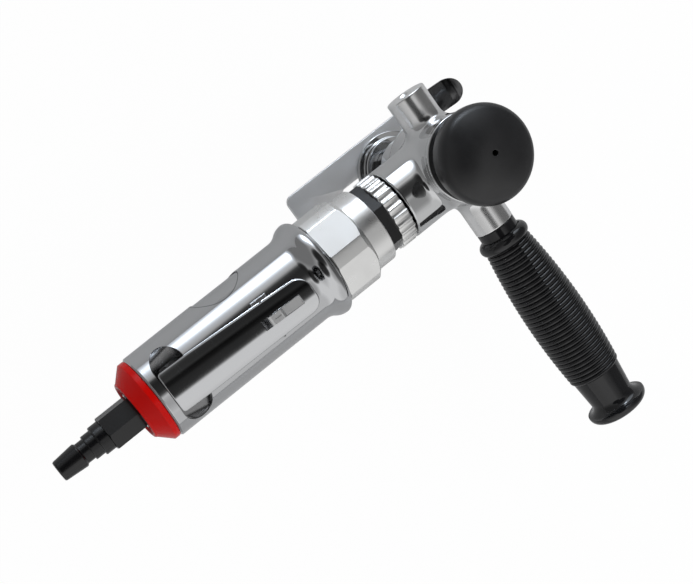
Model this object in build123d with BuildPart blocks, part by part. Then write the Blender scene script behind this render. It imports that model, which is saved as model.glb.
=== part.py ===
"""A barrel-bodied air jigsaw: vane motor, planetary gear, crank and yoke, plunger head, forked shoe."""
import math
import os

from build123d import *

os.makedirs("parts", exist_ok=True)

# All sizes are in millimetres. +X points forward, +Z up, and the side handle points to -Y.
# The origin is where the plunger axis meets the underside of the shoe.
axis_height = 85.5  # motor axis above the underside of the shoe

# Clearances that all the fits share
running_gap = 0.04  # a shaft in its bush or bearing, on the radius
seat_gap = 0.03  # a piece that seats in a bore, on the radius
passing_gap = 0.5  # faces that pass each other without touching

# Forked shoe
shoe_thickness = 2.5
shoe_width = 48.2
shoe_rear = 62.3  # reach behind the plunger axis
shoe_front = 59.5  # reach of the toes before the plunger axis
shoe_corner = 4.5
toe_length = 23.5  # length of the toes that turn up, seen from above
toe_tip_flat = 0.1  # flat left between the rounds of a toe's tip
toe_angle = 24.0
toe_bend = 10.0
blade_slot_width = 16.6
blade_slot_rear = 33.0
blade_slot_corner = 3.0

# Stepped collar between the head's foot and the shoe, with its screws
collar_radius = 21.7
collar_rim = 3.5
collar_neck_radius = 18.4
collar_height = 8.0
collar_edge = 0.8
shoe_screw_x = 10.4
shoe_screw_y = 12.4
shoe_screw_radius = 1.6
shoe_screw_head = 3.2
shoe_screw_length = 6.0
shoe_screw_recess = 0.4

# Crank, yoke and plunger
crank_radius = 10.0  # half the stroke
crank_sweep = 69.0  # crank turn from mid-stroke to either end of the stroke, in degrees
roller_radius = 5.0
roller_length = 9.0
crank_pin_radius = 3.0
crank_pin_end = 5.5
yoke_gap = 1.0  # free play of the roller in the yoke, above and below
yoke_web = 4.0
yoke_depth = 10.0
yoke_end_web = 2.8
rod_radius = 6.0
rod_top = 38.5  # top of the plunger above the motor axis
rod_bottom = 14.0  # end of the plunger above the underside of the shoe, at mid-stroke
clamp_slot_width = 1.7
clamp_slot_depth = 16.0
clamp_screw_radius = 2.1
clamp_screw_length = 4.6
clamp_screw_first = 5.0  # first clamp screw above the plunger's end
clamp_screw_pitch = 6.5
clamp_screw_socket = 1.25

# Head housing
head_radius = 23.5
head_wall = 2.5
head_top = 24.5  # top of the body above the motor axis
chamber_margin = 1.6
chamber_floor = 4.0
head_taper = 8.0
tube_radius = 17.0
tube_lip = 6.9  # guide tube below its wiper seal, where the foot sleeve seats
foot_radius = 13.0
foot_spigot_radius = 11.0
neck_radius = 20.1
neck_reach = 39.2
boss_radius = 10.95
free_boss_reach = 41.2
grip_boss_reach = 41.9
boss_edge = 0.8
boss_thread_radius = 4.25
boss_thread_depth = 16.0
head_blend = 1.6
bush_wall = 2.0
lower_bush_length = 26.0
upper_bush_length = 10.0
seal_height = 3.0
foot_relief = 1.5
access_radius = 3.2

# Top cover and palm knob
cover_thickness = 3.5
cover_edge = 0.8
spigot_radius = 12.0
spigot_height = 8.0
knob_radius = 25.45
knob_foot_radius = 20.0
knob_height = 28.7
knob_belly = 16.7  # height of the widest part above the knob's foot
knob_round = 7.0  # shoulder between the side and the crown
knob_cell_margin = 1.5
vent_radius = 1.5

# Side handle
stud_reach = 24.0  # stud length inside the grip
grip_length = 122.5
grip_collar_radius = 10.8
grip_collar_length = 5.0
grip_bead_radius = 14.3
grip_bead_length = 7.0
grip_rib_start = 12.2
grip_rib_end = 96.8
grip_rib_count = 33
grip_rib_first = 12.9
grip_rib_middle = 16.3
grip_rib_last = 14.5
grip_rib_depth = 0.9
grip_waist_radius = 12.1
grip_waist_place = 112.5
grip_flange_radius = 17.0
grip_flange_place = 117.8
grip_end_radius = 13.5

# Union ring, lock hexagon and gear case, from the head backwards
union_gap = 1.1
ring_length = 9.1
ring_radius = 20.1
flute_count = 26
flute_radius = 2.4
flute_depth = 0.9
lock_length = 6.45
lock_across_flats = 35.1
lock_turn = 21.0  # lock hexagon's corner from the top, in degrees
lock_bevel = 1.0
nose_radius = 15.5
nose_end = 22.0  # front of the nose behind the plunger axis
case_round_length = 10.85
case_round_radius = 21.25
case_hex_length = 21.8
case_across_flats = 46.0
case_land_radius = 24.75  # round lands left between the flats
case_bevel = 2.75
case_edge = 0.4
case_spigot_length = 10.0
case_spigot_radius = 20.6
seam_gap = 0.7
seam_depth = 1.5
ring_gear_wall = 2.3

# Planetary gear
module = 0.7
sun_teeth = 12
planet_teeth = 15
planet_count = 3
addendum = 0.7  # in modules
dedendum = 1.0  # in modules
pressure_angle = 20.0
tooth_share = 0.44  # tooth thickness over the pitch
planet_width = 10.0
gear_side_gap = 1.0
planet_pin_radius = 2.0
carrier_plate = 5.0
carrier_rim = 13.5
shaft_radius = 6.0
carrier_bearing_width = 9.0
carrier_bearing_radius = 14.0
nose_bearing_radius = 12.0
crank_disc_radius = 14.0
crank_disc_width = 6.0
crank_disc_gap = 1.0

# Motor
housing_length = 106.9
housing_front_radius = 23.65
housing_rear_radius = 23.3
flare_radius = 27.35
flare_start = 14.0  # flare's reach behind the front end of the housing
flare_peak = 3.3
flare_lip_radius = 25.4
motor_bore = 19.5
rear_edge = 1.2
end_plate = 7.0
liner_wall = 2.85
liner_offset = 1.5
rotor_gap = 0.3
rotor_side_gap = 0.3
rotor_shaft_radius = 5.0
rotor_bearing_radius = 11.0
rotor_bearing_width = 6.0
shaft_hole_gap = 0.5
rotor_nose = 6.0  # rotor shaft before the front end plate
sun_stub_radius = 2.5
sun_stub_length = 10.0
vane_count = 4
vane_width = 2.8
vane_depth = 6.0
vane_slot_gap = 0.1
locating_pin_radius = 1.5
locating_pin_length = 10.0
race_recess = 0.6
pad_radius = 14.5
pad_depth = 0.4
pad_place = 50.6  # centre of the bare pad behind the front end of the housing

# Air inlet, cap and plug
cap_length = 10.2
cap_radius = 22.6
cap_band = 3.0
cap_rear_radius = 16.4
cap_round = 1.0
cap_wall = 2.0
cap_slot = 2.2  # exhaust gap round the inlet bushing
cap_rim_radius = 13.85
bushing_setback = 0.5
bushing_radius = 10.0
bushing_depth = 18.0
bushing_bore = 4.0
silencer_length = 5.0
silencer_radius = 17.0
exhaust_radius = 3.0
exhaust_across = 10.0
exhaust_drop = 12.0
plug_hex_across_flats = 17.0
plug_hex_length = 17.8
plug_collar_radius = 8.0
plug_collar_length = 5.6
plug_land_radius = 6.75
plug_land_length = 5.1
plug_groove_radius = 5.7
plug_groove_length = 4.1
plug_nose_radius = 6.6
plug_tip_radius = 5.6
plug_nose_length = 13.6
plug_thread_radius = 6.5
plug_thread_length = 9.0
plug_bore = 3.75

# Throttle lever, its pocket, valve and latch. Heights count from the motor axis.
pocket_length = 16.8
pocket_width = 39.8
pocket_floor = 11.0
pocket_rear = 5.5  # pocket's rear edge before the rear end of the housing
lug_width = 17.0
lug_length = 9.0
lug_height = 21.5
pivot_height = 17.5
pivot_setback = 7.9  # hinge pin before the pocket's rear edge
hinge_pin_radius = 2.0
lever_angle = 11.0  # released lever above the barrel, in degrees
lever_rest_angle = 0.8  # squeezed lever, in degrees
lever_rear = 6.3
lever_length = 77.5  # from the hinge pin to the tip
lever_rear_half = 11.2
lever_wide_end = 12.0
lever_tip_half = 9.3
lever_tip_round = 7.0
lever_rear_round = 1.5
lever_sheet = 1.6
lever_low = 7.0  # underside of the sheet above the hinge pin
lever_rim_low = 4.4  # edge of the skirt above the hinge pin
lever_crown = 27.0
lever_nose_length = 17.5  # skirt's edge rises over this length to the tip
lever_nose_low = 6.0
lever_edge = 0.5
lever_ear_length = 9.0
latch_place = 53.2
latch_height = 5.2  # latch pin above the hinge pin
latch_pin_radius = 0.75
latch_slot_rear = 5.5
latch_slot_front = 17.0
latch_slot_half = 2.65
latch_half = 2.35
latch_hub_radius = 1.8
latch_leg = 7.8
latch_leg_width = 2.2
latch_swing = 90.0
latch_bump_rear = 1.9
latch_bump_front = 6.7
latch_bump_top = 5.0  # top of the thumb bump above the latch pin
latch_bump_round = 1.6
latch_tab_end = 16.6
latch_tab_top = 3.3
latch_tab_sheet = 1.3
latch_tab_lift = 4.0  # finger tab's rise from the lever's sheet, in degrees
latch_ear_length = 8.0
latch_ear_low = 4.1
latch_pin_end = 0.6  # latch pin beyond the lever's skirt
latch_clip_length = 8.6
latch_clip_width = 1.6
latch_clip_height = 2.0
relief_margin = 6.5
relief_half_width = 7.5
relief_height = 21.0
valve_setback = 24.5  # valve axis before the hinge pin
valve_front_wall = 5.8  # metal between the valve bush and the motor bore
valve_stem_radius = 2.5
valve_stem_tip = 1.0
valve_stem_round = 0.8
valve_lever_gap = 0.5
valve_head_radius = 3.8
valve_head_height = 3.0
valve_seat_gap = 0.3
valve_bush_radius = 5.4
valve_bush_top = 22.4
valve_guide_length = 5.4
valve_bush_bottom = 5.0
valve_port_radius = 3.2
valve_port_height = 15.0
valve_port_bore = 1.6
valve_well_radius = 4.2
valve_well_floor = -14.0
spring_radius = 3.0
spring_wire = 0.45  # radius of the wire
spring_turns = 4
latch_spring_radius = 1.1
latch_spring_wire = 0.2  # radius of the wire
latch_spring_turns = 2
latch_spring_gap = 0.4
latch_spring_pitch = 0.8
latch_spring_leg = 2.2

# Places along the motor axis that follow from the lengths
ring_front = -neck_reach - union_gap
ring_rear = ring_front - ring_length
lock_rear = ring_rear - lock_length
case_round_rear = lock_rear - case_round_length
case_hex_rear = case_round_rear - case_hex_length
housing_front = case_hex_rear - seam_gap
housing_rear = housing_front - housing_length
spigot_rear = case_hex_rear - case_spigot_length
front_plate_rear = spigot_rear - end_plate
cap_rear = housing_rear - cap_length
bushing_rear = cap_rear + bushing_setback
plug_hex_rear = bushing_rear - plug_hex_length
pocket_rear_x = housing_rear + pocket_rear
pocket_x = pocket_rear_x + pocket_length / 2
pivot_x = pocket_rear_x + pivot_setback
valve_x = pivot_x + valve_setback
rear_plate_rear = valve_x + valve_bush_radius + valve_front_wall
liner_rear = rear_plate_rear + end_plate
liner_length = front_plate_rear - liner_rear

# Sizes of the mechanism that follow from the crank and the gear
yoke_half = roller_radius + yoke_gap + yoke_web
yoke_slot_half = crank_radius + roller_radius + passing_gap
yoke_half_width = yoke_slot_half + yoke_end_web
chamber_half = yoke_half + crank_radius + chamber_margin
chamber_radius = head_radius - head_wall
chamber_bottom = axis_height - chamber_half
head_bottom = chamber_bottom - chamber_floor
head_top_z = axis_height + head_top
cover_top = head_top_z + cover_thickness
bush_radius = rod_radius + bush_wall
lower_bush_bottom = chamber_bottom - lower_bush_length
seal_bottom = lower_bush_bottom - seal_height
tube_bottom = seal_bottom - tube_lip
foot_bottom = shoe_thickness + passing_gap
crank_disc_front = -yoke_depth / 2 - crank_disc_gap
crank_disc_rear = crank_disc_front - crank_disc_width
ring_teeth = sun_teeth + 2 * planet_teeth
planet_orbit = (sun_teeth + planet_teeth) * module / 2
carrier_bearing_rear = case_round_rear - passing_gap
carrier_plate_rear = carrier_bearing_rear - passing_gap - carrier_plate
planet_front = carrier_plate_rear - gear_side_gap
planet_rear = planet_front - planet_width
ring_gear_radius = ring_teeth * module / 2 + dedendum * module + ring_gear_wall
liner_radius = motor_bore - seat_gap
liner_bore = liner_radius - liner_wall
rotor_radius = liner_bore - liner_offset - rotor_gap
carrier_ratio = sun_teeth / (sun_teeth + ring_teeth)

# Planes and axes of the tool
motor_axis = Axis((0, 0, axis_height), (1, 0, 0))
motor_side = Plane(origin=(0, 0, axis_height), x_dir=(1, 0, 0), z_dir=(0, -1, 0))
grip_axis = Axis((0, 0, axis_height), (0, -1, 0))
grip_side = Plane(origin=(0, 0, axis_height), x_dir=(0, -1, 0), z_dir=(-1, 0, 0))
plunger_side = Plane.XZ


def across(x):
    """A plane square to the motor axis, facing forward."""
    return Plane(origin=(x, 0, axis_height), x_dir=(0, 1, 0), z_dir=(1, 0, 0))


def level(height):
    """A level plane at a height above the motor axis."""
    return Plane.XY.offset(axis_height + height)


def turn(points, plane, axis, mode=Mode.ADD):
    """Revolve a closed outline of straight runs about an axis."""
    with BuildSketch(plane) as outline:
        with BuildLine():
            Polyline(*points, close=True)
        make_face()
    revolve(outline.sketch, axis=axis, mode=mode)


def ring(rear, front, outer, inner):
    """Outline of a plain ring on the motor axis, as distance and radius."""
    return [(rear, inner), (front, inner), (front, outer), (rear, outer)]


def bearing(rear, front, outer, inner):
    """Outline of a ball bearing with its shielded faces set back between the races."""
    race = (outer - inner) * 0.28
    return [
        (rear, inner),
        (front, inner),
        (front, inner + race),
        (front - race_recess, inner + race),
        (front - race_recess, outer - race),
        (front, outer - race),
        (front, outer),
        (rear, outer),
        (rear, outer - race),
        (rear + race_recess, outer - race),
        (rear + race_recess, inner + race),
        (rear, inner + race),
    ]


def involute(angle):
    """The involute function of a pressure angle in radians."""
    return math.tan(angle) - angle


def gear_outline(teeth, outer, inner, share):
    """Points of a toothed outline with involute flanks, three to a flank."""
    pitch_radius = teeth * module / 2
    base_radius = pitch_radius * math.cos(math.radians(pressure_angle))
    half_tooth = math.pi * share / teeth
    points = []
    for tooth in range(teeth):
        middle = 2 * math.pi * tooth / teeth
        flank = []
        for radius in (inner, pitch_radius, outer):
            local = math.acos(min(1.0, base_radius / radius))
            half = half_tooth + involute(math.radians(pressure_angle)) - involute(local)
            flank.append((radius, half))
        for radius, half in flank:
            points.append((radius * math.cos(middle - half), radius * math.sin(middle - half)))
        for radius, half in reversed(flank):
            points.append((radius * math.cos(middle + half), radius * math.sin(middle + half)))
    return points


def coil(radius, rise, turns, wire, plane, leg=0.0):
    """Sweep a round wire along a coil on a plane's normal, as biarcs of a quarter turn."""
    marks = []
    for step in range(4 * turns + 1):
        angle = math.pi * step / 2
        spot = Vector(radius * math.cos(angle), radius * math.sin(angle), rise * step / (4 * turns))
        sideways = plane.y_dir * math.cos(angle) - plane.x_dir * math.sin(angle)
        along = sideways + plane.z_dir * (rise / turns / (2 * math.pi * radius))
        marks.append((plane.from_local_coords(spot), along.normalized()))
    with BuildLine() as path:
        if leg:
            Line(marks[0][0] - marks[0][1] * leg, marks[0][0])
        for (start, start_along), (end, end_along) in zip(marks, marks[1:]):
            chord = end - start
            lean = chord.dot(start_along + end_along)
            bend = 2 * (1 - start_along.dot(end_along))
            reach = (math.sqrt(lean * lean + bend * chord.dot(chord)) - lean) / bend
            first = start + start_along * reach
            second = end - end_along * reach
            knee = (first + second) * 0.5
            TangentArc(start, knee, tangent=start_along)
            TangentArc(knee, end, tangent=second - first)
        if leg:
            Line(marks[-1][0], marks[-1][0] + marks[-1][1] * leg)
    with BuildSketch(Plane(path.line @ 0, z_dir=path.line % 0)) as wire_end:
        Circle(wire)
    sweep(wire_end.sketch, path=path.line)


def keep(piece, name):
    """Name a finished piece and write it out."""
    piece.part.label = name
    export_step(piece.part, "parts/" + name + ".step")


# Forked shoe: a bent plate, cut to its outline
with BuildPart() as shoe:
    toe_start = shoe_front - toe_length
    bend_centre = (toe_start, shoe_thickness + toe_bend)
    outer_bend = shoe_thickness + toe_bend
    toe_rise = math.radians(toe_angle)
    toe_run = (toe_length - outer_bend * math.sin(toe_rise)) / math.cos(toe_rise)
    with BuildSketch(plunger_side):
        with BuildLine():
            sole = Line((-shoe_rear, 0), (toe_start, 0))
            outer_arc = CenterArc(bend_centre, outer_bend, -90, toe_angle)
            toe_under = PolarLine(outer_arc @ 1, toe_run, toe_angle)
            toe_tip = PolarLine(toe_under @ 1, shoe_thickness, toe_angle + 90)
            toe_top = PolarLine(toe_tip @ 1, toe_run, toe_angle + 180)
            inner_arc = CenterArc(bend_centre, toe_bend, toe_angle - 90, -toe_angle)
            deck = Line(inner_arc @ 1, (-shoe_rear, shoe_thickness))
            Line(deck @ 1, sole @ 0)
        make_face()
    extrude(amount=shoe_width / 2, both=True)
    toe_round = (shoe_width - blade_slot_width) / 4 - toe_tip_flat / 2
    with BuildSketch() as shoe_plan:
        with Locations(((shoe_front - shoe_rear) / 2, 0)):
            Rectangle(shoe_front + shoe_rear, shoe_width)
        with Locations(((shoe_front - blade_slot_rear) / 2, 0)):
            Rectangle(shoe_front + blade_slot_rear, blade_slot_width, mode=Mode.SUBTRACT)
        fillet(shoe_plan.vertices().group_by(Axis.X)[0], shoe_corner)
        fillet(shoe_plan.vertices().group_by(Axis.X)[-2], blade_slot_corner)
        fillet(shoe_plan.vertices().group_by(Axis.X)[-1], toe_round)
    extrude(amount=axis_height, mode=Mode.INTERSECT)
    with Locations(Plane(origin=(0, 0, 0), x_dir=(1, 0, 0), z_dir=(0, 0, -1))):
        with GridLocations(2 * shoe_screw_x, 2 * shoe_screw_y, 2, 2):
            CounterSinkHole(shoe_screw_radius + seat_gap, shoe_screw_head + seat_gap)
keep(shoe, "shoe")

# Stepped collar that carries the shoe on the head's foot
collar_bottom = shoe_thickness
collar_top = collar_bottom + collar_height
with BuildPart() as shoe_collar:
    turn(
        [
            (foot_radius + seat_gap, collar_bottom),
            (collar_radius, collar_bottom),
            (collar_radius, collar_bottom + collar_rim - collar_edge),
            (collar_radius - collar_edge, collar_bottom + collar_rim),
            (collar_neck_radius, collar_bottom + collar_rim),
            (collar_neck_radius, collar_top - collar_edge),
            (collar_neck_radius - collar_edge, collar_top),
            (foot_radius + seat_gap, collar_top),
        ],
        plunger_side,
        Axis.Z,
    )
    with Locations(Plane(origin=(0, 0, collar_bottom), x_dir=(1, 0, 0), z_dir=(0, 0, -1))):
        with GridLocations(2 * shoe_screw_x, 2 * shoe_screw_y, 2, 2):
            Hole(shoe_screw_radius + seat_gap, shoe_screw_length)
keep(shoe_collar, "shoe_collar")

# Countersunk screws that hold the shoe to its collar
with BuildPart() as shoe_screws:
    head_height = shoe_screw_head - shoe_screw_radius
    for x_side in (-1, 1):
        for y_side in (-1, 1):
            screw_axis = Axis((x_side * shoe_screw_x, y_side * shoe_screw_y, 0), (0, 0, 1))
            screw_plane = Plane(
                origin=(x_side * shoe_screw_x, y_side * shoe_screw_y, 0), x_dir=(1, 0, 0), z_dir=(0, -1, 0))
            turn(
                [
                    (0, shoe_screw_recess),
                    (shoe_screw_head - shoe_screw_recess, shoe_screw_recess),
                    (shoe_screw_radius, head_height),
                    (shoe_screw_radius, shoe_screw_length),
                    (0, shoe_screw_length),
                ],
                screw_plane,
                screw_axis,
            )
keep(shoe_screws, "shoe_screws")

# Head housing: plunger body, guide tube, neck and two handle bosses, bored for the mechanism
with BuildPart() as head_housing:
    turn(
        [
            (0, tube_bottom),
            (tube_radius, tube_bottom),
            (tube_radius, head_bottom - head_taper),
            (head_radius, head_bottom),
            (head_radius, head_top_z),
            (0, head_top_z),
        ],
        plunger_side,
        Axis.Z,
    )
    with BuildSketch(across(-neck_reach)):
        Circle(neck_radius)
    extrude(amount=neck_reach)
    with BuildSketch(Plane(origin=(0, 0, axis_height), x_dir=(1, 0, 0), z_dir=(0, 1, 0))):
        Circle(boss_radius)
    extrude(amount=free_boss_reach)
    with BuildSketch(Plane(origin=(0, 0, axis_height), x_dir=(1, 0, 0), z_dir=(0, -1, 0))):
        Circle(boss_radius)
    extrude(amount=grip_boss_reach)
    seams = head_housing.edges().filter_by(lambda e: e.geom_type not in (GeomType.CIRCLE, GeomType.LINE))
    fillet(seams, head_blend)
    fillet(head_housing.edges().filter_by(GeomType.CIRCLE).sort_by(Axis.Y)[-1], boss_edge)
    turn(
        [
            (0, tube_bottom),
            (foot_spigot_radius + seat_gap, tube_bottom),
            (foot_spigot_radius + seat_gap, seal_bottom),
            (bush_radius + seat_gap, seal_bottom),
            (bush_radius + seat_gap, chamber_bottom),
            (chamber_radius, chamber_bottom),
            (chamber_radius, head_top_z),
            (0, head_top_z),
        ],
        plunger_side,
        Axis.Z,
        mode=Mode.SUBTRACT,
    )
    with BuildSketch(across(-neck_reach)):
        Circle(nose_radius + seat_gap)
    extrude(amount=neck_reach, mode=Mode.SUBTRACT)
    with Locations(Plane(origin=(0, free_boss_reach, axis_height), x_dir=(1, 0, 0), z_dir=(0, 1, 0))):
        Hole(boss_thread_radius, boss_thread_depth)
    with Locations(Plane(origin=(0, -grip_boss_reach, axis_height), x_dir=(1, 0, 0), z_dir=(0, -1, 0))):
        Hole(boss_thread_radius, boss_thread_depth)
keep(head_housing, "head_housing")

# Foot sleeve under the guide tube: it carries the shoe's collar and has a hole for the clamp screws' key
with BuildPart() as foot_sleeve:
    turn(
        [
            (rod_radius + foot_relief, foot_bottom),
            (foot_radius, foot_bottom),
            (foot_radius, tube_bottom),
            (foot_spigot_radius, tube_bottom),
            (foot_spigot_radius, seal_bottom - passing_gap),
            (rod_radius + foot_relief, seal_bottom - passing_gap),
        ],
        plunger_side,
        Axis.Z,
    )
    access_height = rod_bottom + clamp_screw_first + clamp_screw_pitch / 2
    with Locations(Plane(origin=(0, -foot_radius, access_height), x_dir=(1, 0, 0), z_dir=(0, -1, 0))):
        Hole(access_radius, foot_radius - rod_radius)
keep(foot_sleeve, "foot_sleeve")

# Bronze bushes and the wiper seal that guide the plunger
with BuildPart() as lower_bush:
    turn(
        [
            (rod_radius + running_gap, lower_bush_bottom),
            (bush_radius, lower_bush_bottom),
            (bush_radius, chamber_bottom),
            (rod_radius + running_gap, chamber_bottom),
        ],
        plunger_side,
        Axis.Z,
    )
keep(lower_bush, "lower_bush")

with BuildPart() as wiper_seal:
    turn(
        [
            (rod_radius + running_gap, seal_bottom),
            (bush_radius, seal_bottom),
            (bush_radius, lower_bush_bottom),
            (rod_radius + bush_wall / 2, lower_bush_bottom),
        ],
        plunger_side,
        Axis.Z,
    )
keep(wiper_seal, "wiper_seal")

with BuildPart() as upper_bush:
    turn(
        [
            (rod_radius + running_gap, head_top_z),
            (bush_radius, head_top_z),
            (bush_radius, head_top_z + upper_bush_length),
            (rod_radius + running_gap, head_top_z + upper_bush_length),
        ],
        plunger_side,
        Axis.Z,
    )
keep(upper_bush, "upper_bush")

# Top cover with the threaded spigot that the palm knob screws on
spigot_top = cover_top + spigot_height
with BuildPart() as top_cover:
    turn(
        [
            (bush_radius + seat_gap, head_top_z),
            (head_radius, head_top_z),
            (head_radius, cover_top - cover_edge),
            (head_radius - cover_edge, cover_top),
            (spigot_radius, cover_top),
            (spigot_radius, spigot_top),
            (bush_radius + seat_gap, spigot_top),
        ],
        plunger_side,
        Axis.Z,
    )
keep(top_cover, "top_cover")

# Palm knob: a domed puck, hollow over the plunger's upper end, with a breather hole
knob_bottom = cover_top + passing_gap
knob_top = knob_bottom + knob_height
knob_cell_top = axis_height + rod_top + crank_radius + knob_cell_margin
knob_side = (knob_radius, knob_bottom + knob_belly)
knob_rise = knob_height - knob_belly
crown_radius = ((knob_radius - knob_round) ** 2 + knob_rise**2 - knob_round**2) / (2 * (knob_rise - knob_round))
crown_centre = knob_top - crown_radius
crown_lean = math.atan2(knob_side[1] - crown_centre, knob_radius - knob_round)
crown_edge = (crown_radius * math.cos(crown_lean), crown_centre + crown_radius * math.sin(crown_lean))
vent_top = crown_centre + math.sqrt(crown_radius**2 - vent_radius**2)
with BuildPart() as palm_knob:
    with BuildSketch(plunger_side):
        with BuildLine():
            foot = Line((spigot_radius + seat_gap, knob_bottom), (knob_foot_radius, knob_bottom))
            TangentArc(knob_side, foot @ 1, tangent=(0, -1))
            shoulder = TangentArc(knob_side, crown_edge, tangent=(0, 1))
            crown = TangentArc(shoulder @ 1, (vent_radius, vent_top), tangent=shoulder % 1)
            vent = Line(crown @ 1, (vent_radius, knob_cell_top))
            cell_roof = Line(vent @ 1, (rod_radius + foot_relief, knob_cell_top))
            cell_side = Line(cell_roof @ 1, (rod_radius + foot_relief, spigot_top + passing_gap))
            thread_roof = Line(cell_side @ 1, (spigot_radius + seat_gap, spigot_top + passing_gap))
            Line(thread_roof @ 1, foot @ 0)
        make_face()
    revolve(axis=Axis.Z)
keep(palm_knob, "palm_knob")

# Plunger: yoke between two guide rods, slotted below for the blade
plunger_end = rod_bottom
with BuildPart() as plunger:
    with BuildSketch(across(-yoke_depth / 2)):
        RectangleRounded(2 * yoke_half_width, 2 * yoke_half, yoke_web / 2)
        RectangleRounded(2 * yoke_slot_half, 2 * (yoke_half - yoke_web), yoke_web / 4, mode=Mode.SUBTRACT)
    extrude(amount=yoke_depth)
    with BuildSketch(Plane.XY.offset(axis_height + yoke_half - yoke_web / 2)):
        Circle(rod_radius)
    extrude(amount=rod_top - yoke_half + yoke_web / 2)
    with BuildSketch(Plane.XY.offset(plunger_end)):
        Circle(rod_radius)
    extrude(amount=axis_height - yoke_half + yoke_web / 2 - plunger_end)
    with BuildSketch(Plane.XY.offset(plunger_end)):
        Rectangle(2 * rod_radius + 1, clamp_slot_width)
    extrude(amount=clamp_slot_depth, mode=Mode.SUBTRACT)
    for place in range(2):
        screw_height = plunger_end + clamp_screw_first + place * clamp_screw_pitch
        with Locations(Plane(origin=(0, -rod_radius, screw_height), x_dir=(1, 0, 0), z_dir=(0, -1, 0))):
            Hole(clamp_screw_radius + seat_gap, rod_radius - clamp_slot_width / 2)
keep(plunger, "plunger")

# Socket grub screws that clamp the blade
with BuildPart() as clamp_screws:
    for place in range(2):
        screw_height = plunger_end + clamp_screw_first + place * clamp_screw_pitch
        screw_face = Plane(
            origin=(0, -clamp_slot_width / 2, screw_height), x_dir=(1, 0, 0), z_dir=(0, -1, 0))
        with BuildSketch(screw_face):
            Circle(clamp_screw_radius)
        extrude(amount=clamp_screw_length)
        with BuildSketch(screw_face.offset(clamp_screw_length)):
            RegularPolygon(clamp_screw_socket, 6)
        extrude(amount=-clamp_screw_length / 2, mode=Mode.SUBTRACT)
keep(clamp_screws, "clamp_screws")

# Crank disc with its pin, and the roller that runs in the yoke
with BuildPart() as crank_disc:
    with BuildSketch(across(crank_disc_rear)):
        Circle(crank_disc_radius)
        Circle(shaft_radius + seat_gap, mode=Mode.SUBTRACT)
    extrude(amount=crank_disc_width)
    with BuildSketch(across(crank_disc_rear)):
        with Locations((crank_radius, 0)):
            Circle(crank_pin_radius)
    extrude(amount=crank_pin_end - crank_disc_rear)
keep(crank_disc, "crank_disc")

with BuildPart() as crank_roller:
    with BuildSketch(across(-roller_length / 2)):
        with Locations((crank_radius, 0)):
            Circle(roller_radius)
            Circle(crank_pin_radius + running_gap, mode=Mode.SUBTRACT)
    extrude(amount=roller_length)
keep(crank_roller, "crank_roller")

# Planet carrier with its shaft, and the pins that carry the planets
with BuildPart() as planet_carrier:
    with BuildSketch(across(carrier_plate_rear)):
        Circle(carrier_rim)
        with PolarLocations(planet_orbit, planet_count):
            Circle(planet_pin_radius + seat_gap, mode=Mode.SUBTRACT)
    extrude(amount=carrier_plate)
    with BuildSketch(across(carrier_plate_rear + carrier_plate / 2)):
        Circle(shaft_radius)
    extrude(amount=crank_disc_front - carrier_plate_rear - carrier_plate / 2)
keep(planet_carrier, "planet_carrier")

with BuildPart() as planet_pins:
    with BuildSketch(across(planet_rear - gear_side_gap / 2)):
        with PolarLocations(planet_orbit, planet_count):
            Circle(planet_pin_radius)
    extrude(amount=carrier_plate_rear + carrier_plate - planet_rear + gear_side_gap / 2)
keep(planet_pins, "planet_pins")

# Planet gears, turned so that their teeth stand between the sun's
tip_rise = addendum * module
root_drop = dedendum * module
planet_pitch = planet_teeth * module / 2
for number in range(planet_count):
    station = 360 / planet_count * number
    phase = station + 180 - 180 / planet_teeth
    place_y = planet_orbit * math.cos(math.radians(station))
    place_z = planet_orbit * math.sin(math.radians(station))
    gear_plane = Plane(
        origin=(planet_rear, place_y, axis_height + place_z),
        x_dir=(0, math.cos(math.radians(phase)), math.sin(math.radians(phase))),
        z_dir=(1, 0, 0),
    )
    with BuildPart() as planet_gear:
        with BuildSketch(gear_plane):
            with BuildLine():
                Polyline(
                    *gear_outline(planet_teeth, planet_pitch + tip_rise, planet_pitch - root_drop, tooth_share),
                    close=True,
                )
            make_face()
            Circle(planet_pin_radius + running_gap, mode=Mode.SUBTRACT)
        extrude(amount=planet_width)
    keep(planet_gear, "planet_gear_" + str(number + 1))

# Ring gear in the gear case
ring_pitch = ring_teeth * module / 2
with BuildPart() as ring_gear:
    with BuildSketch(across(spigot_rear)):
        Circle(ring_gear_radius)
        with BuildLine():
            Polyline(
                *gear_outline(ring_teeth, ring_pitch + root_drop, ring_pitch - tip_rise, 1 - tooth_share),
                close=True,
            )
        make_face(mode=Mode.SUBTRACT)
    extrude(amount=planet_front - spigot_rear)
keep(ring_gear, "ring_gear")

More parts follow.
